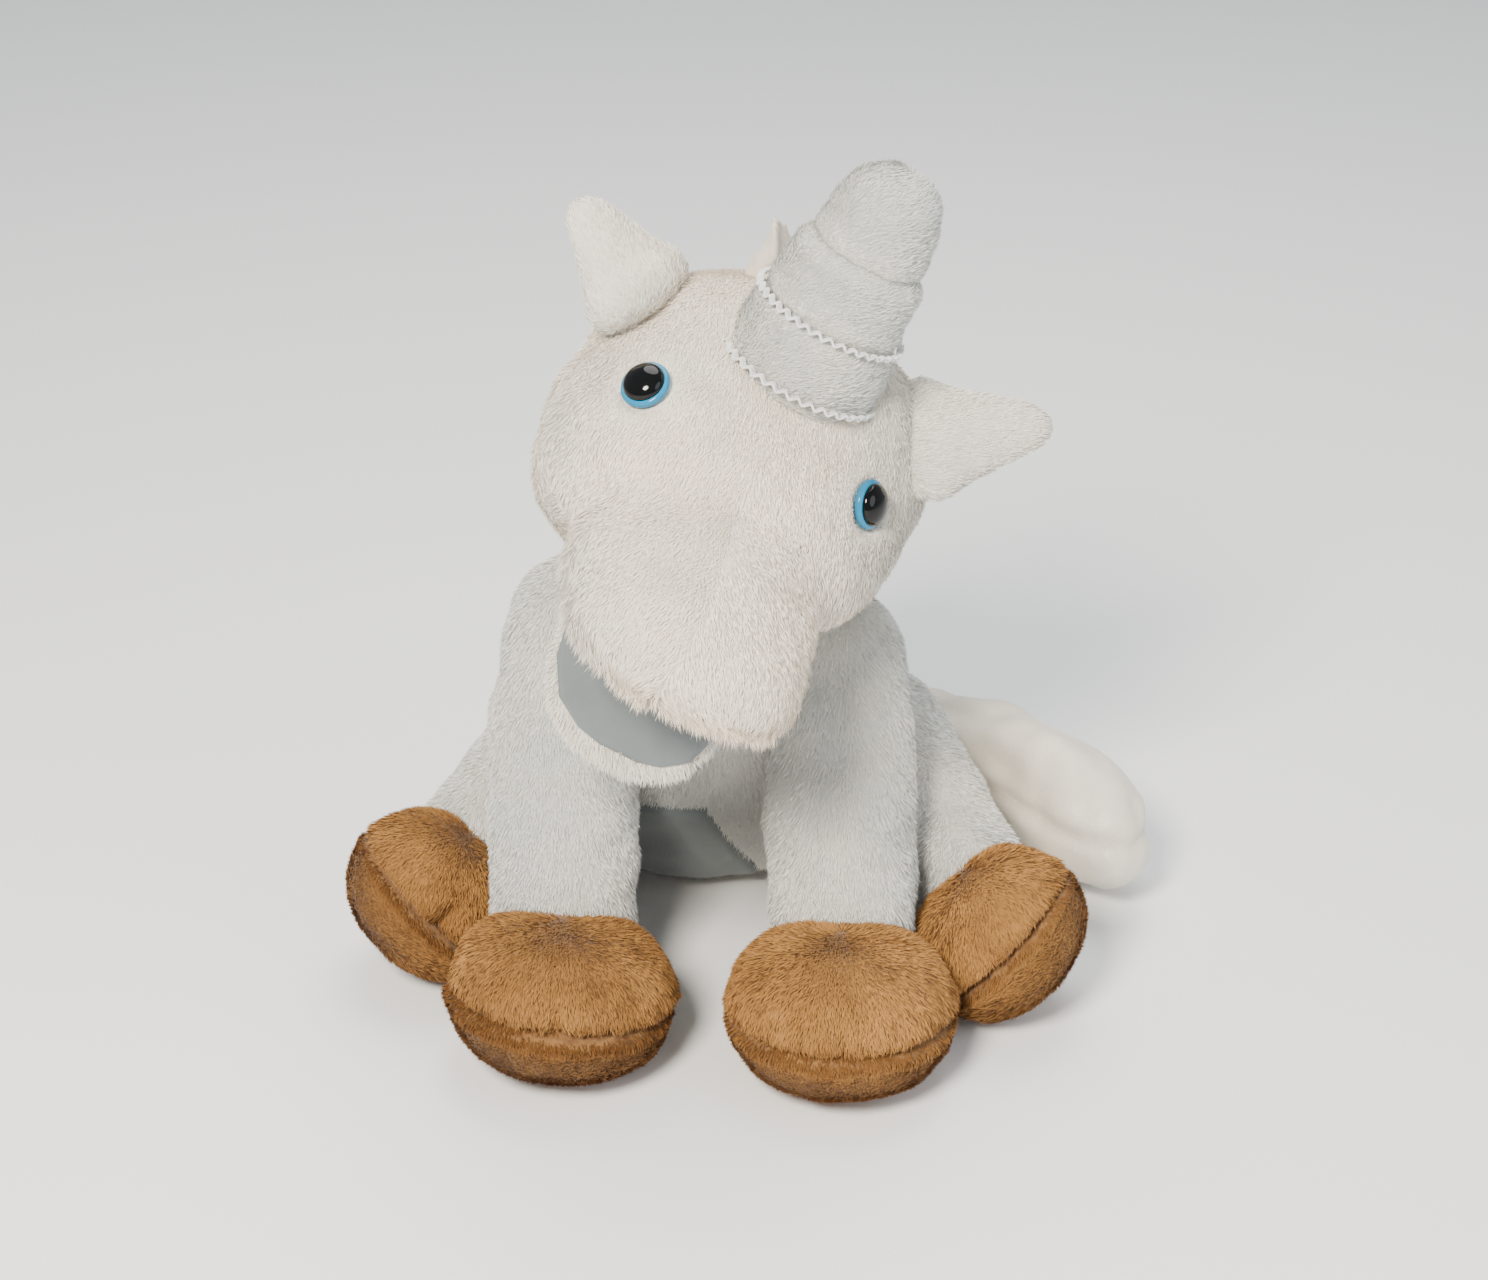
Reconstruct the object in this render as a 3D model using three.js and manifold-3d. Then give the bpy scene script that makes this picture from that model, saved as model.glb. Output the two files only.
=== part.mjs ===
// Seated plush unicorn with an opening mouth. Millimetres, +Z up, the toy faces -Y.
// The origin is on the flat patch under the rump that the toy sits on.
// Left and right are the toy's own: its left is +X.
import * as THREE from 'three';
import { ConvexGeometry } from 'three/addons/geometries/ConvexGeometry.js';
import { mergeVertices } from 'three/addons/utils/BufferGeometryUtils.js';
import Module from 'manifold-3d';

const wasm = await Module();
wasm.setup();

// ---- driving dimensions -------------------------------------------------------------------
const GAP = 0.4;                // between sewn neighbours that do not move on each other
const PLAY = 1.5;               // between soft pieces that move on each other
const SIDES = 20;               // facets round a large body
const FINE = 14;                // facets round a small body
const STITCH = 0.3;             // between the two pads of a hoof

const torso = { halfWidth: 83, halfDepth: 60, height: 178, lean: 98, seat: 22 };
const belly = { halfWidth: 42, thick: 5, low: 7, high: 118 };
const pellets = { halfWidth: 32, halfDepth: 30, back: 16, height: 36, floor: 10, channel: 24 };

const throat = torso.height - 20;    // height of the neck's pivot
const neck = { pivot: [0, -38, throat], radius: 37, foot: throat - 36, top: throat + 116, up: 20, back: 18 };
const foreleg = { radius: 30, forward: 22, back: 1 };
const shoulder = { left: [foreleg.radius + 27, -68, throat - 12], right: [foreleg.radius + 31, -66, throat] };
const ankle = { left: [58, -128], right: [61, -124] };
const hindleg = { pivot: [70, 2, 54], radius: 36, shank: 26, out: 12, inward: 0.5 };
const tail = { root: [62, 58, 37], thick: 38, tall: 34, reach: 136, sweep: 92, out: 30 };

const hoof = { halfWidth: 43, halfDepth: 45, upper: 28, sole: 29, flat: 2 };
const hindHoof = { halfWidth: 35, halfDepth: 33, upper: 28, sole: 27, roll: 43, yaw: 18, pitch: 22 };
const foreHoofAt = { left: [56, -167], right: [-60, -158] };
const foreHoofTip = { left: [8, 0], right: [12, 7] };    // toe up, then outer side up, in degrees
const hindHoofAt = { left: [2 * foreleg.radius + 65, -122], right: [-2 * foreleg.radius - 60, -91] };

const head = { at: [19.5, -135, throat + 106], pitch: 28, roll: 30, halfWidth: 76, halfHeight: 57,
  mid: -38, lop: 6 };
const turn = { plane: -48 };    // where the neck meets the head
const muzzle = { start: 38, end: 106, halfWidth: 46, halfHeight: 34, mid: -30, drift: 8 };
const mouth = { hinge: [22, -47], roof: -36, open: 30, lining: 3, halfWidth: 38, reach: 84, lip: 20 };
const jawSwing = { close: 27, wider: 4 };
const horn = { at: [4, 34, 6], back: 28, lean: 2, radii: [30, 26, 21], heights: [34, 28, 35], sway: 10 };
const trim = { thick: 1.6, proud: 2.4, wave: 1.4, waves: 18 };
const ear = { at: [head.halfWidth - 18, 44, -2], back: 24, wide: 21, thick: 10, flop: 12, lining: 4 };
const earLength = { left: 60, right: 48 };
const earLift = { left: 26, right: 13 };
const eye = { at: [head.halfWidth - 26, 0], ring: 10, cup: 2.4, dome: 4.6, pupil: 7.8, post: 2.4,
  postLength: 16 };
const washer = { radius: 8, thick: 2, depth: 10 };
const mane = { halfWidth: 18, thick: 11, forelock: 50, crest: 92 };

const FUR = 0xe6e0d8;
const LINING = 0xaab0af;
const TAN = 0xbd9461;
const SATIN = 0xe9e2d2;
const BLUE = 0x3fa9d6;
const BLACK = 0x0b0b0c;

// ---- building helpers ---------------------------------------------------------------------
const rad = THREE.MathUtils.degToRad;
const X = [1, 0, 0];
const Z = [0, 0, 1];

function solidOf(geometry) {
  const bare = new THREE.BufferGeometry();
  bare.setAttribute('position', geometry.attributes.position.clone());
  bare.setIndex(geometry.index);
  const merged = mergeVertices(bare, 1e-4);
  const vertProperties = new Float32Array(merged.attributes.position.array);
  const triVerts = new Uint32Array(merged.index.array).filter((_, i, all) => {
    const [a, b, c] = [0, 1, 2].map((k) => all[i - (i % 3) + k]);
    return a !== b && b !== c && c !== a;
  });
  return new wasm.Manifold(new wasm.Mesh({ numProp: 3, vertProperties, triVerts }));
}

function geometryOf(solid) {
  const mesh = solid.getMesh();
  const geometry = new THREE.BufferGeometry();
  geometry.setAttribute('position', new THREE.BufferAttribute(new Float32Array(mesh.vertProperties), 3));
  geometry.setIndex(new THREE.BufferAttribute(new Uint32Array(mesh.triVerts), 1));
  return geometry;
}

const cut = (piece, ...tools) => geometryOf(tools.reduce((s, t) => s.subtract(solidOf(t)), solidOf(piece)));
const common = (piece, other) => geometryOf(solidOf(piece).intersect(solidOf(other)));

// A closed body through rings. Each ring is [height, centreA, centreB, radiusA, radiusB]. The rings
// stack along the named axis, and A and B are the other two axes in X, Y, Z order.
function loft(axis, rings, grow = 0, sides = SIDES) {
  const last = rings.length - 1;
  const up = Math.sign(rings[last][0] - rings[0][0]);
  const spool = [[0, 0], ...rings.map((_, i) => [1, i]), [0, last]].map(([r, h]) => new THREE.Vector2(r, h));
  const geometry = new THREE.LatheGeometry(spool, sides);
  const spot = geometry.attributes.position;
  for (let i = 0; i < spot.count; i += 1) {
    const step = Math.round(spot.getY(i));
    const [height, a, b, ra, rb] = rings[step];
    const end = step === last ? up * grow : 0;
    const h = height + (step === 0 ? -up * grow : end);
    const pa = a + spot.getX(i) * (ra + grow);
    const pb = b + spot.getZ(i) * (rb + grow);
    spot.setXYZ(i, ...{ x: [h, pa, pb], y: [pa, h, pb], z: [pa, pb, h] }[axis]);
  }
  return outward(geometry);
}

// Turns the faces outwards where a mirrored or remapped body has them inside out.
function outward(geometry) {
  const points = geometry.attributes.position;
  const index = geometry.index.array;
  const corner = (i) => new THREE.Vector3().fromBufferAttribute(points, index[i]);
  let volume = 0;
  for (let i = 0; i < index.length; i += 3) {
    volume += corner(i).dot(corner(i + 1).cross(corner(i + 2)));
  }
  if (volume < 0) {
    for (let i = 0; i < index.length; i += 3) {
      [index[i], index[i + 1]] = [index[i + 1], index[i]];
    }
  }
  return geometry;
}

const moved = (geometry, matrix) => geometry.clone().applyMatrix4(matrix);
const mirrored = (geometry) => outward(moved(geometry, new THREE.Matrix4().makeScale(-1, 1, 1)));
const onSide = (geometry, sign) => (sign > 0 ? geometry : mirrored(geometry));

function placing(position, euler = new THREE.Euler()) {
  const quaternion = new THREE.Quaternion().setFromEuler(euler);
  return new THREE.Matrix4().compose(new THREE.Vector3(...position), quaternion, new THREE.Vector3(1, 1, 1));
}

function turning(pivot, axis, degrees) {
  const to = new THREE.Matrix4().makeTranslation(...pivot);
  const swing = new THREE.Matrix4().makeRotationAxis(new THREE.Vector3(...axis).normalize(), rad(degrees));
  return to.clone().multiply(swing).multiply(to.invert());
}

// The convex room that a piece needs while it swings between two angles.
function room(geometry, pivot, axis, from, to) {
  const steps = Math.max(2, Math.ceil((to - from) / 10) + 1);
  const points = [];
  for (let s = 0; s < steps; s += 1) {
    const pose = moved(geometry, turning(pivot, axis, from + ((to - from) * s) / (steps - 1)));
    const spot = pose.attributes.position;
    for (let i = 0; i < spot.count; i += 1) {
      points.push(new THREE.Vector3().fromBufferAttribute(spot, i));
    }
  }
  return new ConvexGeometry(points);
}

const block = (low, high) => new THREE.BoxGeometry(...high.map((h, i) => h - low[i])).translate(
  ...high.map((h, i) => (h + low[i]) / 2),
);

const FAR = 400;
const sidesOfToy = [['left', 1], ['right', -1]];

const toy = new THREE.Group();
toy.name = 'plush_unicorn';
const skull = new THREE.Group();
skull.position.set(...head.at);
skull.rotation.set(rad(head.pitch), rad(head.roll), 0, 'YXZ');
toy.add(skull);
skull.updateMatrix();

function add(name, geometry, color, { into = toy, roughness = 0.95, metalness = 0 } = {}) {
  const part = new THREE.Mesh(geometry, new THREE.MeshStandardMaterial({ color, roughness, metalness }));
  part.name = name;
  into.add(part);
}

// ---- hooves and legs ----------------------------------------------------------------------
// A hoof is two puffed pads, upper and sole, that meet in a drawn-in seam round the toe.
function pad(size, height, up, grow = 0) {
  const puff = [[0, 0.92], [0.18, 0.99], [0.42, 1], [0.7, 0.88], [0.9, 0.66], [1, 0.46]];
  const { halfWidth, halfDepth } = size;
  const rings = puff.map(([h, r]) => [up * (STITCH / 2 + h * height), 0, 0, r * halfWidth, r * halfDepth]);
  return loft('z', rings, grow);
}

function foreHoof(side) {
  const [x, y] = foreHoofAt[side];
  const [toe, outer] = foreHoofTip[side];
  const at = placing([x, y, hoof.sole - hoof.flat + toe / 4], new THREE.Euler(-rad(toe), rad(outer), 0));
  const ground = block([-FAR, -FAR, -FAR], [FAR, FAR, 0]);
  return {
    upper: (grow) => moved(pad(hoof, hoof.upper, 1, grow), at),
    sole: cut(moved(pad(hoof, hoof.sole, -1), at), ground),
  };
}

// The hind hooves lie rolled outwards, with the seam rising away from the body.
function hindHoofOn([x, y], sign) {
  const { roll, yaw, pitch } = hindHoof;
  const lie = placing([0, 0, 0], new THREE.Euler(-rad(pitch), -sign * rad(roll), sign * rad(yaw), 'ZYX'));
  const sole = moved(pad(hindHoof, hindHoof.sole, -1), lie);
  sole.computeBoundingBox();
  const at = placing([x, y, -sole.boundingBox.min.z]).multiply(lie);
  return {
    upper: (grow) => moved(pad(hindHoof, hindHoof.upper, 1, grow), at),
    sole: (grow) => moved(pad(hindHoof, hindHoof.sole, -1, grow), at),
  };
}

function foreLeg(side, grow = 0) {
  const [px, py, pz] = shoulder[side];
  const [ax, ay] = ankle[side];
  const drop = pz - hoof.sole - 8;
  const bulge = [[1, 0.98], [0.75, 1], [0.45, 0.98], [0.2, 1], [0, 1], [-0.1, 0.9], [-0.18, 0.66],
    [-0.22, 0.3]];
  const rings = bulge.map(([t, k]) => {
    const down = Math.max(t, 0);
    const r = k * foreleg.radius;
    return [pz - t * drop, px + (ax - px) * down, py + (ay - py) * down, r, r];
  });
  return loft('z', rings, grow);
}

function hindLeg([hx, hy], grow = 0) {
  const [px, py, pz] = hindleg.pivot;
  const { radius: r, shank: s } = hindleg;
  const end = [Math.abs(hx) - 4, hy + 14, 36];
  const rings = [
    [py + 34, px + 4, pz, r * 0.35, r * 0.4],
    [py + 28, px + 4, pz, r * 0.75, r * 0.8],
    [py + 8, px + 6, pz, r, r * 1.24],
    [py - 18, px + 9, pz, r * 1.04, r * 1.24],
    [py - 44, px + 24, pz - 6, r * 0.9, r],
    [(end[1] + py - 44) / 2, (end[0] + px + 24) / 2, pz - 12, s * 1.08, s * 1.1],
    [end[1], end[0], end[2], s, s],
  ];
  return loft('y', rings, grow);
}

// ---- torso, neck and tail -----------------------------------------------------------------
function torsoBody(grow = 0) {
  const { halfWidth: w, halfDepth: d, height: h, lean, seat } = torso;
  const egg = [[0, 0.6, 0.6], [0.05, 0.78, 0.78], [0.17, 0.92, 0.92], [0.34, 1, 1.02], [0.51, 1, 1],
    [0.67, 0.97, 0.9], [0.81, 0.8, 0.76], [0.92, 0.56, 0.56], [1, 0.3, 0.32]];
  return loft('z', egg.map(([t, kw, kd]) => [t * h, 0, seat - lean * t, kw * w, kd * d]), grow);
}

function neckBody(grow = 0) {
  const [, y, z] = neck.pivot;
  const { radius: r, back } = neck;
  const rings = [
    [neck.foot, 0, y, r * 0.4, r * 0.4],
    [neck.foot + 8, 0, y, r * 0.7, r * 0.8],
    [z - 8, 0, y, r * 0.84, r * 1.02],
    [z + 24, 2, y + back * 0.5, r * 0.94, r * 1.04],
    [z + 56, 5, y + back, r * 0.98, r * 1.02],
    [neck.top - 30, 7, y + back, r * 0.94, r * 0.94],
    [neck.top - 10, 8, y + back - 4, r * 0.74, r * 0.74],
    [neck.top, 8, y + back - 8, r * 0.4, r * 0.4],
  ];
  return loft('z', rings, grow);
}

function tailBody(grow = 0) {
  const [x, y, z] = tail.root;
  const { thick: a, tall: b, reach, sweep } = tail;
  const puff = [[0, 0, 0.35, 0.4], [0.1, 0.01, 0.48, 0.5], [0.3, 0.1, 0.6, 0.66], [0.52, 0.38, 0.86, 0.92],
    [0.74, 0.74, 1, 1], [0.9, 0.93, 0.84, 0.82], [1, 1, 0.4, 0.42]];
  const rings = puff.map(([t, s, ka, kb]) => [x + t * reach, y - s * sweep, z - 3 * t, ka * a, kb * b]);
  return loft('x', rings, grow);
}

const rooms = [
  room(neckBody(PLAY), neck.pivot, X, -neck.up, 0),
  room(tailBody(PLAY), tail.root, Z, 0, tail.out),
];
const hindRoom = {};
for (const [side, sign] of sidesOfToy) {
  const [fx, fy, fz] = shoulder[side];
  const leg = onSide(foreLeg(side, PLAY), sign);
  rooms.push(room(leg, [sign * fx, fy, fz], X, -foreleg.forward, foreleg.back));
  const [hx, hy, hz] = hindleg.pivot;
  const [from, to] = sign > 0 ? [-hindleg.inward, hindleg.out] : [-hindleg.out, hindleg.inward];
  hindRoom[side] = room(onSide(hindLeg(hindHoofAt[side], PLAY), sign), [sign * hx, hy, hz], Z, from, to);
  rooms.push(hindRoom[side]);
}

function pelletShape(grow = 0) {
  const { halfWidth: w, halfDepth: d, height: h, floor, back } = pellets;
  const puff = [[0, 0.8], [0.25, 1], [0.7, 1], [1, 0.7]];
  return loft('z', puff.map(([t, k]) => [floor + t * h, 0, back, k * w, k * d]), grow, FINE);
}

const channelTop = pellets.floor + pellets.height - 8;
const channel = block([-pellets.channel, -FAR, pellets.floor + 4], [pellets.channel, 0, channelTop]);
add('body_plush', cut(torsoBody(), ...rooms, pelletShape(GAP), channel), FUR);
add('pellet_bag', pelletShape(), 0xd8d3c8, { roughness: 0.9 });

const bellyCut = block([-belly.halfWidth, -FAR, belly.low], [belly.halfWidth, -10, belly.high]);
const bellyShell = cut(common(torsoBody(belly.thick), bellyCut), torsoBody(GAP), ...rooms);
add('belly_panel', bellyShell, LINING, { roughness: 0.8 });

const beforeNeck = block([-FAR, -FAR, -FAR], [FAR, turn.plane + GAP, FAR]);
add('neck_plush', cut(neckBody(), beforeNeck), FUR);
add('tail_satin', cut(tailBody(), hindRoom.left), SATIN, { roughness: 0.4 });

for (const [side, sign] of sidesOfToy) {
  const fore = foreHoof(side);
  add(`foreleg_${side}`, cut(onSide(foreLeg(side), sign), fore.upper(GAP)), FUR);
  add(`fore_hoof_upper_${side}`, fore.upper(0), TAN);
  add(`fore_hoof_sole_${side}`, fore.sole, TAN);
  const hind = hindHoofOn(hindHoofAt[side], sign);
  const shank = onSide(hindLeg(hindHoofAt[side]), sign);
  add(`hindleg_${side}`, cut(shank, hind.upper(GAP), hind.sole(GAP)), FUR);
  add(`hind_hoof_upper_${side}`, hind.upper(0), TAN);
  add(`hind_hoof_sole_${side}`, hind.sole(0), TAN);
}

// ---- head ---------------------------------------------------------------------------------
// In the head's own frame -Y runs down the face to the muzzle and +Z stands off the forehead.
function cranium(grow = 0) {
  const { halfWidth: w, halfHeight: h, mid, lop } = head;
  const rings = [
    [92, lop, mid + 11, w * 0.3, h * 0.34],
    [84, lop, mid + 10, w * 0.58, h * 0.62],
    [66, lop, mid + 8, w * 0.86, h * 0.9],
    [40, lop, mid + 5, w, h * 1.02],
    [12, lop / 2, mid, w * 1.01, h],
    [-12, 0, mid, w * 0.95, h * 0.95],
    [-28, 0, mid + 2, w * 0.86, h * 0.84],
    [-muzzle.start, 0, mid + 4, w * 0.76, h * 0.72],
  ];
  return loft('y', rings, grow);
}

function muzzleBody() {
  const { start, end, halfWidth: w, halfHeight: h, mid, drift } = muzzle;
  const long = end - start;
  const blunt = [[0, 1.12, 1.12, -3], [0.3, 1.02, 1.02, -1], [0.55, 1, 1, 0], [0.76, 0.97, 0.96, 0],
    [0.9, 0.84, 0.82, 0], [0.97, 0.62, 0.6, -1], [1, 0.3, 0.3, -2]];
  const rings = blunt.map(([t, kw, kh, dz]) => [
    -start - GAP - t * long, t * drift, mid + dz, kw * w, kh * h,
  ]);
  return loft('y', rings);
}

const hinge = [0, -mouth.hinge[0], mouth.hinge[1]];
const jawTop = mouth.roof - 2 * mouth.lining - 1.5;
const tongueline = [[0, 0.86], [0.12, 0.96], [0.4, 1], [0.7, 0.98], [0.88, 0.8], [0.97, 0.5], [1, 0.25]];

function jawBody(grow = 0) {
  const rings = tongueline.map(([t, k]) => [
    hinge[1] - 4 - t * mouth.reach, t * muzzle.drift, jawTop, k * mouth.halfWidth, Math.sqrt(k) * mouth.lip,
  ]);
  const over = block([-FAR, -FAR, jawTop + grow], [FAR, FAR, FAR]);
  return cut(loft('y', rings, grow), over);
}

function lining(low) {
  const rings = tongueline.map(([t, k]) => [
    hinge[1] - 5 - t * (mouth.reach - 6), t * muzzle.drift, low, k * (mouth.halfWidth - 4), 12,
  ]);
  return common(loft('y', rings), block([-FAR, -FAR, low], [FAR, FAR, low + mouth.lining - GAP]));
}

const opened = turning(hinge, X, mouth.open);
const jawRoom = room(moved(jawBody(PLAY), opened), hinge, X, -jawSwing.close, jawSwing.wider);
const gape = block([-FAR, -FAR, -FAR], [FAR, hinge[1] + 2, mouth.roof]);

// The neck meets the head on one upright plane, square to the axis that the head tilts about.
const toSkull = skull.matrix.clone().invert();
const behind = moved(block([-FAR, turn.plane - GAP, -FAR], [FAR, FAR, FAR]), toSkull);

function hornFrame() {
  const [x, y, z] = horn.at;
  return placing([x, y, z], new THREE.Euler(-rad(horn.back), -rad(horn.lean), 0, 'XYZ'));
}

// One stuffed horn segment, pinched where it is sewn to its neighbours.
function hornSegment(i, grow = 0) {
  const low = horn.heights.slice(0, i).reduce((sum, h) => sum + h, 0);
  const next = i === 2 ? horn.radii[2] * 0.7 : horn.radii[i + 1];
  const tall = horn.heights[i] - GAP;
  const puff = i === 2
    ? [[0, 0.86], [0.2, 0.99], [0.5, 0.94], [0.78, 0.8], [0.93, 0.56], [1, 0.26]]
    : [[0, 0.88], [0.25, 1], [0.55, 1], [0.82, 0.94], [1, (next * 0.84) / horn.radii[i]]];
  return loft('z', puff.map(([t, k]) => [low + t * tall, 0, 0, k * horn.radii[i], k * horn.radii[i]]), grow);
}

// Wavy braid sewn round the lower horn seam.
function braid(grow = 0) {
  const r = horn.radii[1];
  const rim = [];
  for (let i = 0; i < trim.waves * 4; i += 1) {
    const a = (2 * Math.PI * i) / (trim.waves * 4);
    const out = r + trim.proud + trim.wave * Math.sin(a * trim.waves) + grow;
    rim.push(new THREE.Vector2(out * Math.cos(a), out * Math.sin(a)));
  }
  const shape = new THREE.Shape(rim);
  const inner = new THREE.Path().absarc(0, 0, r - 2, 0, 2 * Math.PI, true);
  shape.holes.push(inner);
  const depth = trim.thick + 2 * grow;
  const ring = new THREE.ExtrudeGeometry(shape, { depth, bevelEnabled: false, curveSegments: 8 });
  return ring.translate(0, 0, horn.heights[0] - depth / 2);
}

const earLie = (side) => new THREE.Euler(0, -rad(earLift[side]), rad(ear.back), 'ZYX');

function earBody(side, grow = 0) {
  const { wide: w, thick: t } = ear;
  const l = earLength[side];
  const leaf = [[-0.06, 0.4, 0.5], [0.02, 0.78, 0.86], [0.22, 1, 1], [0.5, 0.9, 0.92], [0.76, 0.62, 0.8],
    [0.92, 0.42, 0.62], [1, 0.18, 0.3]];
  const flat = loft('x', leaf.map(([s, kw, kt]) => [s * l, 0, 0, kw * w, kt * t]), grow, FINE);
  return moved(flat, placing(ear.at, earLie(side)));
}

function earLining(side, grow = 0) {
  const { wide: w, thick: t, lining: deep } = ear;
  const l = earLength[side];
  const leaf = [[0.16, 0.4], [0.3, 0.62], [0.5, 0.6], [0.7, 0.4], [0.84, 0.16]];
  const flat = loft('x', leaf.map(([s, k]) => [s * l, 0, -t, k * w, deep]), grow, FINE);
  return moved(flat, placing(ear.at, earLie(side)));
}

const hornRooms = [0, 1, 2].map((i) => (
  room(moved(hornSegment(i, PLAY), hornFrame()), horn.at, X, -horn.sway, horn.sway)
));
const headTools = [behind, gape, jawRoom, hornRooms[0]];

const eyeFrame = {};
for (const [side, sign] of sidesOfToy) {
  const root = [sign * ear.at[0], ear.at[1], ear.at[2]];
  for (const shape of [earBody(side, PLAY), earLining(side, PLAY)]) {
    headTools.push(room(onSide(shape, sign), root, [0, 1, 0], -ear.flop, ear.flop));
  }
  const look = new THREE.Vector3(sign * 0.66, -0.22, 0.72).normalize();
  const quaternion = new THREE.Quaternion().setFromUnitVectors(new THREE.Vector3(0, 0, 1), look);
  const along = Math.sqrt(1 - (eye.at[0] / head.halfWidth) ** 2);
  const spot = new THREE.Vector3(sign * eye.at[0], -eye.at[1], head.mid + head.halfHeight * along);
  const seat = spot.addScaledVector(look, -1);
  eyeFrame[side] = new THREE.Matrix4().compose(seat, quaternion, new THREE.Vector3(1, 1, 1));
}

function turnedProfile(profile) {
  const points = profile.map(([r, h]) => new THREE.Vector2(r, h));
  return outward(new THREE.LatheGeometry(points, SIDES).rotateX(Math.PI / 2));
}

// The eye's seat: a shallow dish, the post's hole and the washer's pocket inside the skin.
function eyeSeat() {
  const dish = eye.ring + GAP;
  const hole = eye.post + GAP;
  const wide = washer.radius + GAP;
  const deep = -washer.depth;
  return turnedProfile([
    [0, 12], [dish, 12], [dish, -GAP], [hole, -GAP], [hole, deep + GAP], [wide, deep + GAP],
    [wide, deep - washer.thick - GAP], [hole, deep - washer.thick - GAP], [hole, -eye.postLength - 1],
    [0, -eye.postLength - 1],
  ]);
}

for (const [side] of sidesOfToy) {
  headTools.push(moved(eyeSeat(), eyeFrame[side]));
  const iris = turnedProfile([
    [0, eye.cup], [eye.ring - 0.8, eye.cup], [eye.ring, eye.cup - 1], [eye.ring, 0], [eye.post, 0],
    [eye.post, -eye.postLength], [0, -eye.postLength],
  ]);
  const dome = [[0, eye.cup + eye.dome]];
  for (const a of [20, 40, 60, 78]) {
    dome.push([eye.pupil * Math.sin(rad(a)), eye.cup + GAP + (eye.dome - GAP) * Math.cos(rad(a))]);
  }
  const pupil = turnedProfile([...dome, [eye.pupil, eye.cup + GAP], [0, eye.cup + GAP]]);
  const ring = turnedProfile([
    [eye.post + 0.1, -washer.depth], [washer.radius, -washer.depth],
    [washer.radius, -washer.depth - washer.thick],
    [eye.post + 0.1, -washer.depth - washer.thick], [eye.post + 0.1, -washer.depth],
  ]);
  const plastic = { into: skull, roughness: 0.15 };
  add(`eye_iris_${side}`, moved(iris, eyeFrame[side]), BLUE, plastic);
  add(`eye_pupil_${side}`, moved(pupil, eyeFrame[side]), BLACK, plastic);
  add(`eye_washer_${side}`, moved(ring, eyeFrame[side]), 0xe8e8e4, { into: skull, roughness: 0.5 });
}

add('head_plush', cut(cranium(), ...headTools), FUR, { into: skull });
const mouthCeiling = block([-FAR, -FAR, -FAR], [FAR, FAR, mouth.roof]);
add('muzzle_plush', cut(muzzleBody(), mouthCeiling), FUR, { into: skull });
add('palate_lining', lining(mouth.roof - mouth.lining), LINING, { into: skull, roughness: 0.8 });
add('jaw_plush', moved(jawBody(), opened), FUR, { into: skull });
add('jaw_lining', moved(lining(jawTop + GAP), opened), LINING, { into: skull, roughness: 0.8 });

['base', 'middle', 'tip'].forEach((name, i) => {
  const inner = horn.radii[1] + trim.proud + trim.wave + GAP;
  const seam = block([-inner, -inner, -trim.thick / 2 - GAP], [inner, inner, trim.thick / 2 + GAP]);
  const groove = cut(seam.translate(0, 0, horn.heights[0]), loft('z', [
    [horn.heights[0] - 9, 0, 0, horn.radii[1] - 2 - GAP, horn.radii[1] - 2 - GAP],
    [horn.heights[0] + 9, 0, 0, horn.radii[1] - 2 - GAP, horn.radii[1] - 2 - GAP],
  ]));
  add(`horn_${name}`, moved(cut(hornSegment(i), groove), hornFrame()), FUR, { into: skull });
});
const wavy = moved(geometryOf(solidOf(braid())), hornFrame());
add('horn_braid', wavy, 0xf4f4f2, { into: skull, roughness: 0.8 });

for (const [side, sign] of sidesOfToy) {
  add(`ear_${side}`, onSide(cut(earBody(side), earLining(side, GAP)), sign), FUR, { into: skull });
  add(`ear_lining_${side}`, onSide(earLining(side), sign), LINING, { into: skull, roughness: 0.8 });
}

// ---- satin mane ---------------------------------------------------------------------------
function lock(l) {
  const { halfWidth: w, thick: t } = mane;
  const puff = [[0, 0.4, 0.4], [0.12, 0.8, 0.8], [0.4, 1, 1], [0.75, 0.95, 0.9], [0.92, 0.7, 0.7],
    [1, 0.3, 0.3]];
  return loft('z', puff.map(([s, kw, kt]) => [s * l, 0, 0, kw * w, kt * t]), 0, FINE);
}
const satin = { roughness: 0.4 };
const forelock = moved(lock(mane.forelock), placing([-14, 72, -2], new THREE.Euler(rad(-8), rad(6), 0)));
const nape = [5, neck.pivot[1] + neck.back + neck.radius + 2, neck.top - mane.crest - 4];
const crest = moved(lock(mane.crest), placing(nape, new THREE.Euler(rad(6), 0, 0)));
const braidRoom = room(moved(braid(PLAY), hornFrame()), horn.at, X, -horn.sway, horn.sway);
const tuft = cut(forelock, cranium(GAP), behind, braidRoom, ...hornRooms);
add('mane_forelock', tuft, SATIN, { into: skull, ...satin });
add('mane_crest', cut(crest, neckBody(GAP), torsoBody(GAP)), SATIN, satin);

export default toy;
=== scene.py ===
"""A seated plush unicorn: stuffed covers, pile, satin, cloth linings, braid and plastic eyes.

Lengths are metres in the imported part's frame: +Z up, the toy faces -Y, its left is +X.
"""

import math

import bmesh
import bpy
import numpy as np
from bpy.props import FloatProperty, FloatVectorProperty, IntProperty, PointerProperty
from mathutils import Matrix, Vector
from mathutils.bvhtree import BVHTree


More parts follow.
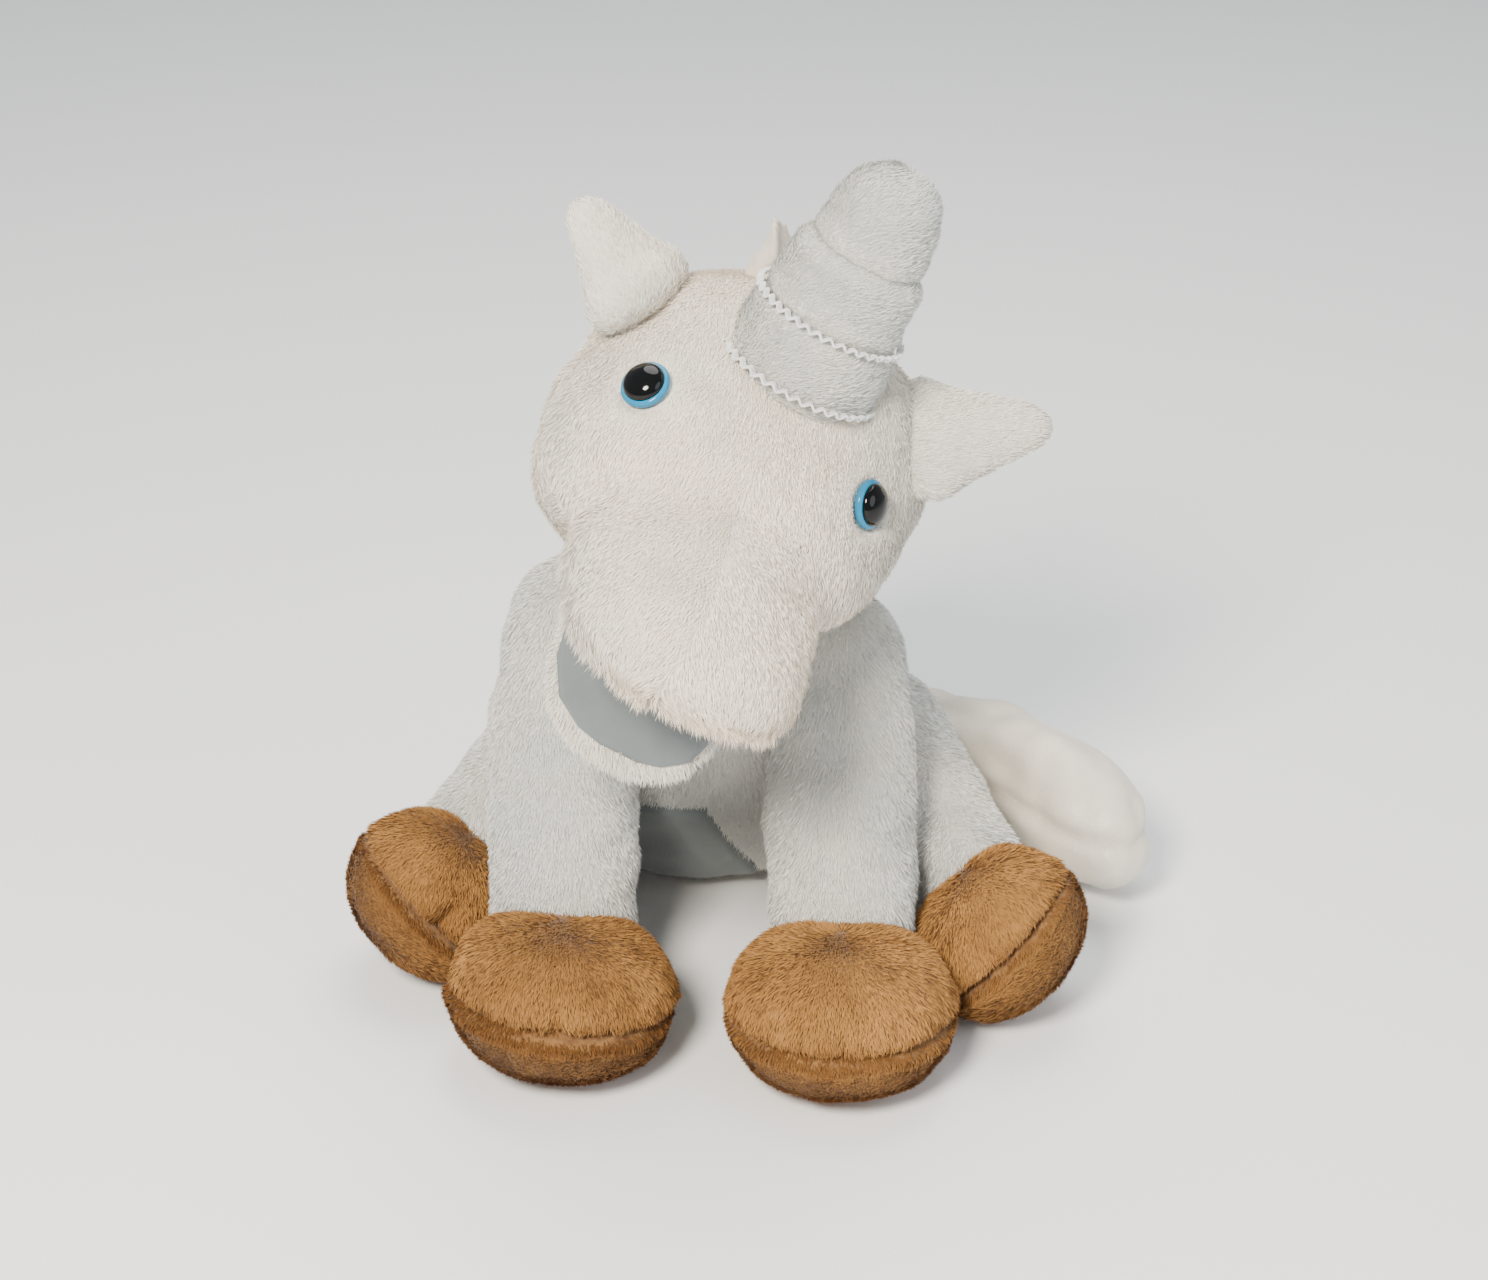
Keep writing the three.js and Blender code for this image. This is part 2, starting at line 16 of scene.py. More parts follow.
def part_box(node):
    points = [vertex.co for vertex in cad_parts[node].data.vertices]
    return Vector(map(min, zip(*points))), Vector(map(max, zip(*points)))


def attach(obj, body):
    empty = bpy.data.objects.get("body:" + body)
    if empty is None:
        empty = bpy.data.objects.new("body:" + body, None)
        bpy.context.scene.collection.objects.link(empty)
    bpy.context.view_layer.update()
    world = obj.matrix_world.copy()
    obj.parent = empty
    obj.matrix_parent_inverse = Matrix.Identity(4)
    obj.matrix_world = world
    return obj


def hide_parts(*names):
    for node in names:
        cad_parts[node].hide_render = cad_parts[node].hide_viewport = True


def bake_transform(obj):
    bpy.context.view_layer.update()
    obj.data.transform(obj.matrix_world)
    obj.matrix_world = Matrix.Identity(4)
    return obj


bl_info = {
    "name": "Plush unicorn",
    "version": (1, 0, 0),
    "blender": (4, 5, 0),
    "location": "3D View > Sidebar > Unicorn",
    "description": "Builds the covers, pile and trims of a seated plush unicorn",
    "category": "Add Mesh",
}

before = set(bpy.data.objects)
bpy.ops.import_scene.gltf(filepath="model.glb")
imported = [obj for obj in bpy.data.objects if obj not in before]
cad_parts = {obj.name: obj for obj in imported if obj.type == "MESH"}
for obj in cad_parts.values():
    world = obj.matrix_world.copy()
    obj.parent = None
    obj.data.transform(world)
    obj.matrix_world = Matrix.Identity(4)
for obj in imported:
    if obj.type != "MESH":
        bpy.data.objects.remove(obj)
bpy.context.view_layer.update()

MM = 0.001
SIDES = {"left": 1, "right": -1}

# The head's own frame: -Y runs down the face to the muzzle, +Z stands off the forehead.
HEAD_AT = Vector((19.5, -135, 264)) * MM
HEAD_TILT = math.radians(30)
HEAD_DROP = math.radians(28)
HEAD = (
    Matrix.Translation(HEAD_AT) @ Matrix.Rotation(HEAD_TILT, 4, "Y") @ Matrix.Rotation(HEAD_DROP, 4, "X")
)
MOUTH_ROOF = -36 * MM
HINGE = Vector((0, -22, -47)) * MM
JAW_OPEN = math.radians(30)
JAW_TOP = MOUTH_ROOF - 7.5 * MM
# The muzzle begins this far down the face, and its tip lies this far towards the toy's left.
MUZZLE_START = -34 * MM
MUZZLE_DRIFT = 8 * MM
TONGUE_LENGTH = 78 * MM
TONGUE_WIDTH = 73 * MM
TONGUE_START = HINGE.y - 5 * MM
# The linings' half-width along the tongue, as shares of the length and of the widest place.
TONGUE = ((0, 0.86), (0.12, 0.96), (0.4, 1), (0.7, 0.98), (0.88, 0.8), (0.97, 0.5), (1, 0.22))
HORN_SEAMS = (34 * MM, 62 * MM)
TURN_AT = Vector((7, -48, 242)) * MM
NECK_PIVOT = Vector((0, -38, 158)) * MM
DOWN = np.array((0.0, 0.0, -1.0))


# ---- settings -----------------------------------------------------------------------------
def colour(name, description, default):
    return FloatVectorProperty(
        name=name, description=description, default=default, subtype="COLOR", size=3, min=0, max=1
    )


def length(name, description, default):
    return FloatProperty(name=name, description=description, default=default, unit="LENGTH", min=0)


class UnicornPileSettings(bpy.types.PropertyGroup):
    """The fur and the short pile of the hooves."""

    fur_length: length("Fur length", "Length of the white pile", 4.2 * MM)
    fur_width: length("Tuft width", "Width of one tuft of white pile", 0.42 * MM)
    fur_density: FloatProperty(
        name="Fur density", description="Tufts of white pile on a square metre", default=2.15e6
    )
    fringe: FloatProperty(
        name="Fringe", description="How much longer the pile is round the mouth", default=2.8
    )
    hoof_length: length("Hoof pile length", "Length of the tan pile", 4.5 * MM)
    hoof_density: FloatProperty(
        name="Hoof density", description="Tufts of tan pile on a square metre", default=2.2e6
    )
    seed: IntProperty(name="Seed", description="Start of the random draws", default=7)
    # Painted light: the lit white and the shaded white of one fur, mixed by each piece's lit share.
    white_lit: colour("Warm white", "Fur where it is warmest", (1.0, 0.895, 0.76))
    white_shaded: colour("Cool white", "Fur where it is coolest", (0.60, 0.62, 0.605))
    # The dark tan paints the shade in the hooves' creases and under their soles; the light tan is the hoof
    # pile where it is lit.
    tan_light: colour("Light tan", "Hoof pile on the crowns", (0.46, 0.225, 0.065))
    tan_dark: colour("Dark tan", "Hoof pile in the creases", (0.15, 0.06, 0.014))


class UnicornClothSettings(bpy.types.PropertyGroup):
    """The bare cloths and the braid."""

    # Partly the lining's own grey and partly painted shade: it is darkened for the shade in the open mouth.
    lining: colour("Lining", "Woven mouth, belly and ear lining", (0.16, 0.18, 0.185))
    satin: colour("Satin", "Tail and mane", (0.74, 0.66, 0.54))
    braid: colour("Braid", "Wavy trim on the horn", (0.86, 0.87, 0.86))
    thread: length("Thread pitch", "Distance between the lining's threads", 0.55 * MM)
    braid_width: length("Braid width", "Width of the wavy trim", 2.4 * MM)


class UnicornEyeSettings(bpy.types.PropertyGroup):
    """The plastic eyes."""

    ring: colour("Ring", "Blue ring round the pupil", (0.02, 0.30, 0.56))
    pupil: colour("Pupil", "Domed pupil", (0.002, 0.002, 0.002))


# ---- mesh helpers -------------------------------------------------------------------------
def object_of(name, mesh):
    piece = bpy.data.objects.new(name, mesh)
    bpy.context.scene.collection.objects.link(piece)
    return piece


def piece_from(name, shape):
    """A new object from a bmesh, which is freed."""
    mesh = bpy.data.meshes.new(name)
    shape.to_mesh(mesh)
    shape.free()
    return object_of(name, mesh)


def node_points(node):
    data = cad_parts[node].data
    places = np.empty(len(data.vertices) * 3, np.float32)
    data.vertices.foreach_get("co", places)
    return places.reshape(-1, 3).astype(float)


def points_of(piece):
    places = np.empty(len(piece.data.vertices) * 3, np.float32)
    piece.data.vertices.foreach_get("co", places)
    return places.reshape(-1, 3).astype(float)


def normals_of(piece):
    found = np.empty(len(piece.data.vertices) * 3, np.float32)
    piece.data.vertex_normals.foreach_get("vector", found)
    return found.reshape(-1, 3).astype(float)


def place(piece, points):
    piece.data.vertices.foreach_set("co", points.astype(np.float32).ravel())
    piece.data.update()


def unit(vectors):
    return vectors / np.maximum(np.linalg.norm(vectors, axis=-1, keepdims=True), 1e-9)


def in_frame(points, matrix):
    """Points taken into a frame that the matrix places."""
    inverse = np.array(matrix.inverted())
    return points @ inverse[:3, :3].T + inverse[:3, 3]


def out_of_frame(points, matrix):
    """Points taken out of a frame that the matrix places."""
    there = np.array(matrix)
    return points @ there[:3, :3].T + there[:3, 3]


def off_axis(points, matrix):
    """How far points lie from the own Z axis of a frame, and how high along it."""
    near = in_frame(points, matrix)
    return np.hypot(near[:, 0], near[:, 1]), near[:, 2]


def turned(vector, matrix):
    """A direction taken out of a frame that the matrix places."""
    return np.array(matrix.to_3x3() @ Vector(vector))


def ways_out(ways, matrix):
    """Many directions taken out of a frame that the matrix places."""
    return ways @ np.array(matrix)[:3, :3].T


def peak(x, middle, width):
    """One at the middle, falling off smoothly on both sides over the width."""
    return np.exp(-(((x - middle) / width) ** 2))


def smooth_step(x, low, high):
    """Nought below low, one above high, and smooth between them."""
    t = np.clip((x - low) / (high - low), 0, 1)
    return t * t * (3 - 2 * t)


def waves(points, size, seed):
    """Smooth noise from -1 to 1, as a sum of waves in seeded directions about size long."""
    draw = np.random.default_rng(seed)
    total = np.zeros(len(points))
    for _ in range(9):
        way = unit(draw.normal(size=3))
        pitch = 2 * math.pi / (size * draw.uniform(0.6, 1.6))
        total += np.sin(points @ way * pitch + draw.uniform(0, 6.3))
    return total / 4.5


def hull(shape, points):
    """Adds the convex hull of the points to a bmesh."""
    own = bmesh.new()
    for p in points:
        own.verts.new(p)
    found = bmesh.ops.convex_hull(own, input=own.verts)
    inner = [v for v in found["geom_interior"] + found["geom_unused"] if isinstance(v, bmesh.types.BMVert)]
    bmesh.ops.delete(own, geom=list(set(inner)), context="VERTS")
    bmesh.ops.recalc_face_normals(own, faces=own.faces)
    mesh = bpy.data.meshes.new("hull")
    own.to_mesh(mesh)
    own.free()
    shape.from_mesh(mesh)
    bpy.data.meshes.remove(mesh)


def finished(piece):
    """Applies the piece's modifiers."""
    graph = bpy.context.evaluated_depsgraph_get()
    mesh = bpy.data.meshes.new_from_object(piece.evaluated_get(graph))
    piece.modifiers.clear()
    old = piece.data
    piece.data = mesh
    bpy.data.meshes.remove(old)
    mesh.name = piece.name
    return piece


def rounded(piece, rounds, factor=0.5):
    """Rounds a cover by evening out its points."""
    smooth = piece.modifiers.new("Round", "SMOOTH")
    smooth.factor = factor
    smooth.iterations = rounds
    return finished(piece)


def remeshed(piece, size):
    remesh = piece.modifiers.new("Cloth grid", "REMESH")
    remesh.mode = "VOXEL"
    remesh.voxel_size = size
    return finished(piece)


def subdivided(piece, levels=1):
    finer = piece.modifiers.new("Finer", "SUBSURF")
    finer.levels = levels
    finer.render_levels = levels
    finished(piece)
    piece.data.shade_smooth()
    return piece


def covered(name, shape, size, rounds, swell):
    """A rounded cover over a bmesh, on an even grid and swollen a little."""
    cover = rounded(remeshed(piece_from(name, shape), size), rounds)
    place(cover, points_of(cover) + swell * normals_of(cover))
    return cover


def stuffed(name, bodies, size=4 * MM, rounds=6, swell=0.0):
    """A closed cover over the hulls of some bodies of points."""
    shape = bmesh.new()
    for points in bodies:
        hull(shape, points)
    return covered(name, shape, size, rounds, swell)


def copied(name, node, size, rounds, swell):
    """A closed cover over a node's own shape, where its hull would be too full."""
    shape = bmesh.new()
    shape.from_mesh(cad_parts[node].data)
    bmesh.ops.remove_doubles(shape, verts=shape.verts, dist=1e-5)
    return covered(name, shape, size, rounds, swell)


def puffed(cover, cap, pressure=4.0):
    """Swells a cover by air pressure, and keeps every point within cap of where it began."""
    start = points_of(cover)
    cloth = cover.modifiers.new("Stuffing", "CLOTH")
    cloth.settings.use_pressure = True
    cloth.settings.uniform_pressure_force = pressure
    cloth.settings.quality = 4
    cloth.settings.effector_weights.gravity = 0
    cloth.collision_settings.use_collision = False
    for step in range(1, 17):
        bpy.context.scene.frame_set(step)
    finished(cover)
    moves = points_of(cover) - start
    long = np.linalg.norm(moves, axis=1, keepdims=True)
    place(cover, start + moves * np.minimum(1, cap / np.maximum(long, 1e-9)))
    bpy.context.scene.frame_set(1)
    return cover


def wrinkled(cover, height, size, seed, along=None):
    """Soft dents and folds in a cover. A direction stretches them along it."""
    points = points_of(cover)
    spread = points.copy()
    if along is not None:
        along = unit(np.array(along, float))
        spread -= 0.7 * (points @ along)[:, None] * along
    bumps = waves(spread, size, seed) + 0.4 * waves(spread, size / 2.3, seed + 1)
    place(cover, points + (height * bumps)[:, None] * normals_of(cover))
    return cover


def write(piece, name, values, kind="FLOAT"):
    field = piece.data.attributes.get(name) or piece.data.attributes.new(name, kind, "POINT")
    key = "value" if kind == "FLOAT" else "vector"
    field.data.foreach_set(key, np.asarray(values, np.float32).ravel())


def flat_map(piece, places):
    """The piece's own map, in metres or shares, given for each point."""
    layer = piece.data.uv_layers.new(name="Cloth")
    corners = np.empty(len(piece.data.loops), np.int32)
    piece.data.loops.foreach_get("vertex_index", corners)
    layer.data.foreach_set("uv", places[corners].astype(np.float32).ravel())


# ---- node helpers -------------------------------------------------------------------------
def wire(tree, kind, inputs=None, **settings):
    """A new node, with its settings, and its inputs linked to sockets or set to values."""
    node = tree.nodes.new(kind)
    for key, value in settings.items():
        setattr(node, key, value)
    for key, value in (inputs or {}).items():
        if isinstance(value, bpy.types.NodeSocket):
            tree.links.new(value, node.inputs[key])
        else:
            node.inputs[key].default_value = value
    return node


def random_value(tree, low, high, seed):
    """A random number between two others for each point."""
    return wire(tree, "FunctionNodeRandomValue", {2: low, 3: high, 8: seed}).outputs[1]


def field(tree, name, kind="FLOAT"):
    """A named field of the mesh."""
    return wire(tree, "GeometryNodeInputNamedAttribute", {"Name": name}, data_type=kind).outputs[0]


def stored(tree, shape, name, value, **settings):
    """Geometry with a value kept on it under a name."""
    inputs = {"Geometry": shape, "Name": name, "Value": value}
    return wire(tree, "GeometryNodeStoreNamedAttribute", inputs, **settings).outputs[0]


def aligned(tree, way, axis, start=None):
    """A rotation that points an axis along a way, or turns an earlier one about its Z towards it."""
    inputs, settings = {"Vector": way}, {"axis": axis}
    if start:
        inputs["Rotation"], settings["pivot_axis"] = start, "Z"
    return wire(tree, "FunctionNodeAlignRotationToVector", inputs, **settings).outputs[0]


def mapped(tree, value, low, high, new_low=0.0, new_high=1.0):
    """A value taken from one range to another."""
    inputs = {0: value, 1: low, 2: high, 3: new_low, 4: new_high}
    return wire(tree, "ShaderNodeMapRange", inputs).outputs[0]


def maths(tree, operation, *values):
    return wire(tree, "ShaderNodeMath", dict(enumerate(values)), operation=operation).outputs[0]


def vectors(tree, operation, *values):
    spots = (0, 3) if operation == "SCALE" else range(len(values))
    return wire(tree, "ShaderNodeVectorMath", dict(zip(spots, values)), operation=operation).outputs[0]


def mixed(tree, share, low, high, blend="MIX"):
    inputs = {0: share, 6: low, 7: high}
    return wire(tree, "ShaderNodeMix", inputs, data_type="RGBA", blend_type=blend).outputs[2]


def group_of(name, kind, inputs, outputs):
    """A node group with named sockets, its input node and its output node."""
    tree = bpy.data.node_groups.new(name, kind)
    for title, socket, default in inputs:
        made = tree.interface.new_socket(title, in_out="INPUT", socket_type=socket)
        if default is not None:
            made.default_value = default
    for title, socket in outputs:
        tree.interface.new_socket(title, in_out="OUTPUT", socket_type=socket)
    return tree, wire(tree, "NodeGroupInput").outputs, wire(tree, "NodeGroupOutput").inputs


def rgba(three):
    return (*three, 1.0)


# ---- pile ---------------------------------------------------------------------------------
def tuft():
    """One tuft of pile: two triangles, bent towards +Y, a unit long and wide."""
    found = bpy.data.objects.get("tuft")
    if found:
        return found
    mesh = bpy.data.meshes.new("tuft")
    mesh.from_pydata(
        [(0, 0, 0), (0.5, 0.1, 0.42), (-0.5, 0.1, 0.42), (0, 0.42, 1)], [], [(0, 1, 2), (2, 1, 3)]
    )
    piece = bpy.data.objects.new("tuft", mesh)
    write(piece, "along", [0, 0.42, 0.42, 1])
    write(piece, "side", [0, 1, -1, 0])
    return piece


def pile_tree():
    """Geometry nodes that grow pile on a cover, combed along its own field."""
    found = bpy.data.node_groups.get("Pile")
    if found:
        return found
    tree, given, result = group_of(
        "Pile",
        "GeometryNodeTree",
        [
            ("Cover", "NodeSocketGeometry", None),
            ("Tuft", "NodeSocketObject", None),
            ("Density", "NodeSocketFloat", 1e6),
            ("Length", "NodeSocketFloat", 0.008),
            ("Width", "NodeSocketFloat", 0.0006),
            ("Rise", "NodeSocketFloat", 0.6),
            ("Scatter", "NodeSocketFloat", 0.25),
            ("Clump", "NodeSocketFloat", 0.5),
            ("Clump size", "NodeSocketFloat", 0.008),
            ("Seed", "NodeSocketInt", 0),
            ("Material", "NodeSocketMaterial", None),
        ],
        [("Pile", "NodeSocketGeometry")],
    )

    density = maths(tree, "MULTIPLY", given["Density"], field(tree, "grow"))
    spots = wire(
        tree,
        "GeometryNodeDistributePointsOnFaces",
        {"Mesh": given["Cover"], "Density": density, "Seed": given["Seed"]},
    )
    normal = spots.outputs["Normal"]
    position = wire(tree, "GeometryNodeInputPosition").outputs[0]
    per_metre = maths(tree, "DIVIDE", 1.0, given["Clump size"])
    clumps = wire(tree, "ShaderNodeTexNoise", {"Vector": position, "Scale": per_metre, "Detail": 2.0})
    leaning = vectors(tree, "SUBTRACT", clumps.outputs["Color"], (0.5, 0.5, 0.5))
    leaning = vectors(tree, "SCALE", leaning, maths(tree, "MULTIPLY", given["Clump"], 4.0))
    stray = wire(
        tree,
        "FunctionNodeRandomValue",
        {0: (-1, -1, -1), 1: (1, 1, 1), 8: given["Seed"]},
        data_type="FLOAT_VECTOR",
    ).outputs[0]
    comb = field(tree, "comb", "FLOAT_VECTOR")
    way = vectors(tree, "ADD", vectors(tree, "SCALE", normal, given["Rise"]), comb)
    way = vectors(tree, "ADD", way, vectors(tree, "SCALE", stray, given["Scatter"]))
    way = vectors(tree, "ADD", way, leaning)
    # A tuft never dives under the cover that it grows on.
    sunk = wire(tree, "ShaderNodeVectorMath", {0: way, 1: normal}, operation="DOT_PRODUCT").outputs["Value"]
    lift = maths(tree, "MAXIMUM", maths(tree, "SUBTRACT", 0.3, sunk), 0.0)
    way = vectors(tree, "ADD", way, vectors(tree, "SCALE", normal, lift))
    fold = aligned(tree, comb, "Y", aligned(tree, way, "Z"))
    spin = random_value(tree, -0.9, 0.9, maths(tree, "ADD", given["Seed"], 1.0))
    spin = wire(tree, "FunctionNodeAxisAngleToRotation", {"Axis": (0, 0, 1), "Angle": spin}).outputs[0]
    fold = wire(
        tree, "FunctionNodeRotateRotation", {"Rotation": fold, "Rotate By": spin}, rotation_space="LOCAL"
    ).outputs[0]
    uneven = random_value(tree, 0.62, 1.0, maths(tree, "ADD", given["Seed"], 2.0))
    long = maths(tree, "MULTIPLY", maths(tree, "MULTIPLY", given["Length"], field(tree, "pile")), uneven)
    size = wire(tree, "ShaderNodeCombineXYZ", {0: given["Width"], 1: long, 2: long}).outputs[0]
    # The tuft's shade: the cover's lit share, painted light, with a little random tone.
    stray_shade = random_value(tree, -0.05, 0.05, maths(tree, "ADD", given["Seed"], 3.0))
    shade = maths(tree, "ADD", field(tree, "tone"), stray_shade)
    shade = wire(tree, "ShaderNodeClamp", {0: shade, 1: 0.03, 2: 0.97}).outputs[0]
    # Every tuft is lit as if it faced the way that the cover does, so the coat looks soft.
    facing = vectors(tree, "ADD", normal, vectors(tree, "SCALE", way, 0.35))
    roots = stored(tree, spots.outputs["Points"], "shade", shade)
    roots = stored(tree, roots, "facing", facing, data_type="FLOAT_VECTOR")
    blade = wire(tree, "GeometryNodeObjectInfo", {"Object": given["Tuft"]}).outputs["Geometry"]
    planted = wire(
        tree,
        "GeometryNodeInstanceOnPoints",
        {"Points": roots, "Instance": blade, "Rotation": fold, "Scale": size},
    )
    real = wire(tree, "GeometryNodeRealizeInstances", {0: planted.outputs[0]}).outputs[0]
    side = maths(tree, "MULTIPLY", field(tree, "side"), 0.02)
    across = maths(tree, "ADD", field(tree, "shade"), side)
    chart = wire(tree, "ShaderNodeCombineXYZ", {0: across, 1: field(tree, "along")}).outputs[0]
    charted = stored(tree, real, "OFBake", chart, data_type="FLOAT2", domain="CORNER")
    lit = wire(tree, "GeometryNodeSetMeshNormal", mode="FREE", domain="POINT")
    tree.links.new(charted, lit.inputs["Mesh"])
    tree.links.new(field(tree, "facing", "FLOAT_VECTOR"), lit.inputs["Custom Normal"])
    dressed = wire(tree, "GeometryNodeSetMaterial", {0: lit.outputs[0], "Material": given["Material"]})
    tree.links.new(dressed.outputs[0], result["Pile"])
    return tree


def run_tree(piece, tree, spent, **inputs):
    """Runs geometry nodes on a piece, leaves a plain mesh and drops the fields that are spent."""
    maker = piece.modifiers.new("Maker", "NODES")
    maker.node_group = tree
    named = {i.name: i.identifier for i in tree.interface.items_tree if i.in_out == "INPUT"}
    for key, value in inputs.items():
        maker[named[key.replace("_", " ")]] = value
    finished(piece)
    for name in spent:
        left = piece.data.attributes.get(name)
        if left:
            piece.data.attributes.remove(left)
    return piece


def with_pile(cover, name, material, comb, keep=None, pile=1.0, tone=0.5, **sizes):
    """Grows pile on a cover and returns it as a plain mesh of its own."""
    points, normals = points_of(cover), normals_of(cover)
    comb = np.broadcast_to(np.asarray(comb, float), points.shape)
    along = unit(comb - (comb * normals).sum(1, keepdims=True) * normals)
    coat = object_of(name, cover.data.copy())
    coat.data.materials.clear()
    write(coat, "comb", along, "FLOAT_VECTOR")
    write(coat, "grow", np.ones(len(points)) if keep is None else keep)
    write(coat, "pile", np.ones(len(points)) * pile)
    write(coat, "tone", np.ones(len(points)) * tone)
    spent = ("shade", "facing", "comb", "grow", "pile", "tone", "along", "side")
    return run_tree(coat, pile_tree(), spent, Tuft=tuft(), Material=material, **sizes)


# ---- materials ----------------------------------------------------------------------------
def bare_material(name):
    """A material with its Principled shader, its Object coordinates and its tree."""
    material = bpy.data.materials.new(name)
    material.use_nodes = True
    tree = material.node_tree
    shader = tree.nodes["Principled BSDF"]
    place_at = wire(tree, "ShaderNodeTexCoord").outputs["Object"]
    return material, tree, shader, place_at


def noise(tree, at, scale, detail, **more):
    inputs = {"Vector": at, "Scale": scale, "Detail": detail, **more}
    return wire(tree, "ShaderNodeTexNoise", inputs).outputs[0]


def grey(tree, value):
    return wire(tree, "ShaderNodeCombineColor", {0: value, 1: value, 2: value}).outputs[0]


def bumped(tree, shader, height, distance, strength):
    bump = wire(tree, "ShaderNodeBump", {"Height": height, "Distance": distance, "Strength": strength})
    tree.links.new(bump.outputs[0], shader.inputs["Normal"])


def finish_of(shader, **values):
    """Sets the shader's own sockets."""
    for name, value in values.items():
        shader.inputs[name.replace("_", " ")].default_value = value


def mottle_group():
    """Two colours in soft patches, for dye and wear."""
    found = bpy.data.node_groups.get("Mottle")
    if found:
        return found
    tree, given, result = group_of(
        "Mottle",
        "ShaderNodeTree",
        [
            ("Vector", "NodeSocketVector", None),
            ("Patches per metre", "NodeSocketFloat", 40.0),
            ("Light", "NodeSocketColor", None),
            ("Dark", "NodeSocketColor", None),
        ],
        [("Color", "NodeSocketColor"), ("Mask", "NodeSocketFloat")],
    )
    spots = noise(tree, given["Vector"], given["Patches per metre"], 5.0, Roughness=0.6)
    mask = mapped(tree, spots, 0.34, 0.66)
    tree.links.new(mixed(tree, mask, given["Dark"], given["Light"]), result["Color"])
    tree.links.new(mask, result["Mask"])
    return tree


def mottled(tree, at, per_metre, light, dark):
    """The colour and the mask of a mottled surface."""
    inputs = {"Vector": at, "Patches per metre": per_metre, "Light": rgba(light), "Dark": rgba(dark)}
    return wire(tree, "ShaderNodeGroup", inputs, node_tree=mottle_group()).outputs


def weave_group():
    """Threads that cross over and under on a map in metres."""
    found = bpy.data.node_groups.get("Weave")
    if found:
        return found
    tree, given, result = group_of(
        "Weave",
        "ShaderNodeTree",
        [("Vector", "NodeSocketVector", None), ("Pitch", "NodeSocketFloat", 0.0006)],
        [("Height", "NodeSocketFloat"), ("Gap", "NodeSocketFloat")],
    )
    turns = vectors(tree, "SCALE", given["Vector"], maths(tree, "DIVIDE", math.pi, given["Pitch"]))
    parts = wire(tree, "ShaderNodeSeparateXYZ", {0: turns}).outputs
    warp = maths(tree, "ABSOLUTE", maths(tree, "SINE", parts[0]))
    weft = maths(tree, "ABSOLUTE", maths(tree, "SINE", parts[1]))
    over = maths(tree, "MULTIPLY", maths(tree, "SINE", parts[0]), maths(tree, "SINE", parts[1]))
    over = maths(tree, "MULTIPLY_ADD", over, 0.5, 0.5)
    height = maths(
        tree,
        "ADD",
        maths(tree, "MULTIPLY", warp, over),
        maths(tree, "MULTIPLY", weft, maths(tree, "SUBTRACT", 1.0, over)),
    )
    tree.links.new(height, result["Height"])
    tree.links.new(maths(tree, "SUBTRACT", 1.0, maths(tree, "MAXIMUM", warp, weft)), result["Gap"])
    return tree


def pile_material(name, low, high, root, tip, sheen):
    """Pile whose colour follows its own map: across it the painted light, from the shaded colour to the lit
    one; along it the painted shade, darker at the root, and paler tips.
    """
    found = bpy.data.materials.get(name)
    if found:
        return found
    material, tree, shader, _ = bare_material(name)
    chart = wire(tree, "ShaderNodeUVMap", uv_map="OFBake").outputs[0]
    parts = wire(tree, "ShaderNodeSeparateXYZ", {0: chart}).outputs
    # Painted light across the map: from the shaded colour to the lit one.
    body = mixed(tree, parts[0], rgba(low), rgba(high))
    # Painted shade between the tufts: darker towards the root.
    deep = grey(tree, mapped(tree, parts[1], 0.0, 0.75, root))
    shown = mixed(tree, 1.0, body, deep, "MULTIPLY")
    shown = mixed(tree, mapped(tree, parts[1], 0.7, 1.0, 0.0, tip), shown, (1, 1, 1, 1))
    tree.links.new(shown, shader.inputs["Base Color"])
    finish_of(shader, Roughness=0.8, Specular_IOR_Level=0.12, Sheen_Weight=sheen, Sheen_Roughness=0.5)
    return material


def ground_material(name, light, dark):
    """The knitted ground that the pile grows from."""
    found = bpy.data.materials.get(name)
    if found:
        return found
    material, tree, shader, at = bare_material(name)
    patches = mottled(tree, at, 260.0, light, dark)
    tree.links.new(patches["Color"], shader.inputs["Base Color"])
    bumped(tree, shader, patches["Mask"], 0.8 * MM, 0.6)
    finish_of(shader, Roughness=0.95, Sheen_Weight=0.2)
    return material


def cloth_material(name, base, pitch, roughness, sheen, strength=0.5, streak=0.12):
    """Woven cloth on the piece's own map."""
    found = bpy.data.materials.get(name)
    if found:
        return found
    material, tree, shader, at = bare_material(name)
    chart = wire(tree, "ShaderNodeUVMap", uv_map="Cloth").outputs[0]
    threads = {"Vector": chart, "Pitch": pitch}
    weave = wire(tree, "ShaderNodeGroup", threads, node_tree=weave_group()).outputs
    patches = mottled(tree, at, 55.0, (min(1, 1.06 * c) for c in base), ((1 - streak) * c for c in base))
    # Painted shade in the gaps between the threads.
    gap = maths(tree, "MULTIPLY", weave["Gap"], 0.55)
    shown = mixed(tree, gap, patches["Color"], rgba(0.55 * c for c in base))
    tree.links.new(shown, shader.inputs["Base Color"])
    bumped(tree, shader, weave["Height"], 0.2 * MM, strength)
    rough = mapped(tree, patches["Mask"], 0.0, 1.0, roughness - 0.06, roughness + 0.06)
    tree.links.new(rough, shader.inputs["Roughness"])
    finish_of(shader, Sheen_Weight=sheen, Sheen_Roughness=0.4)
    return material


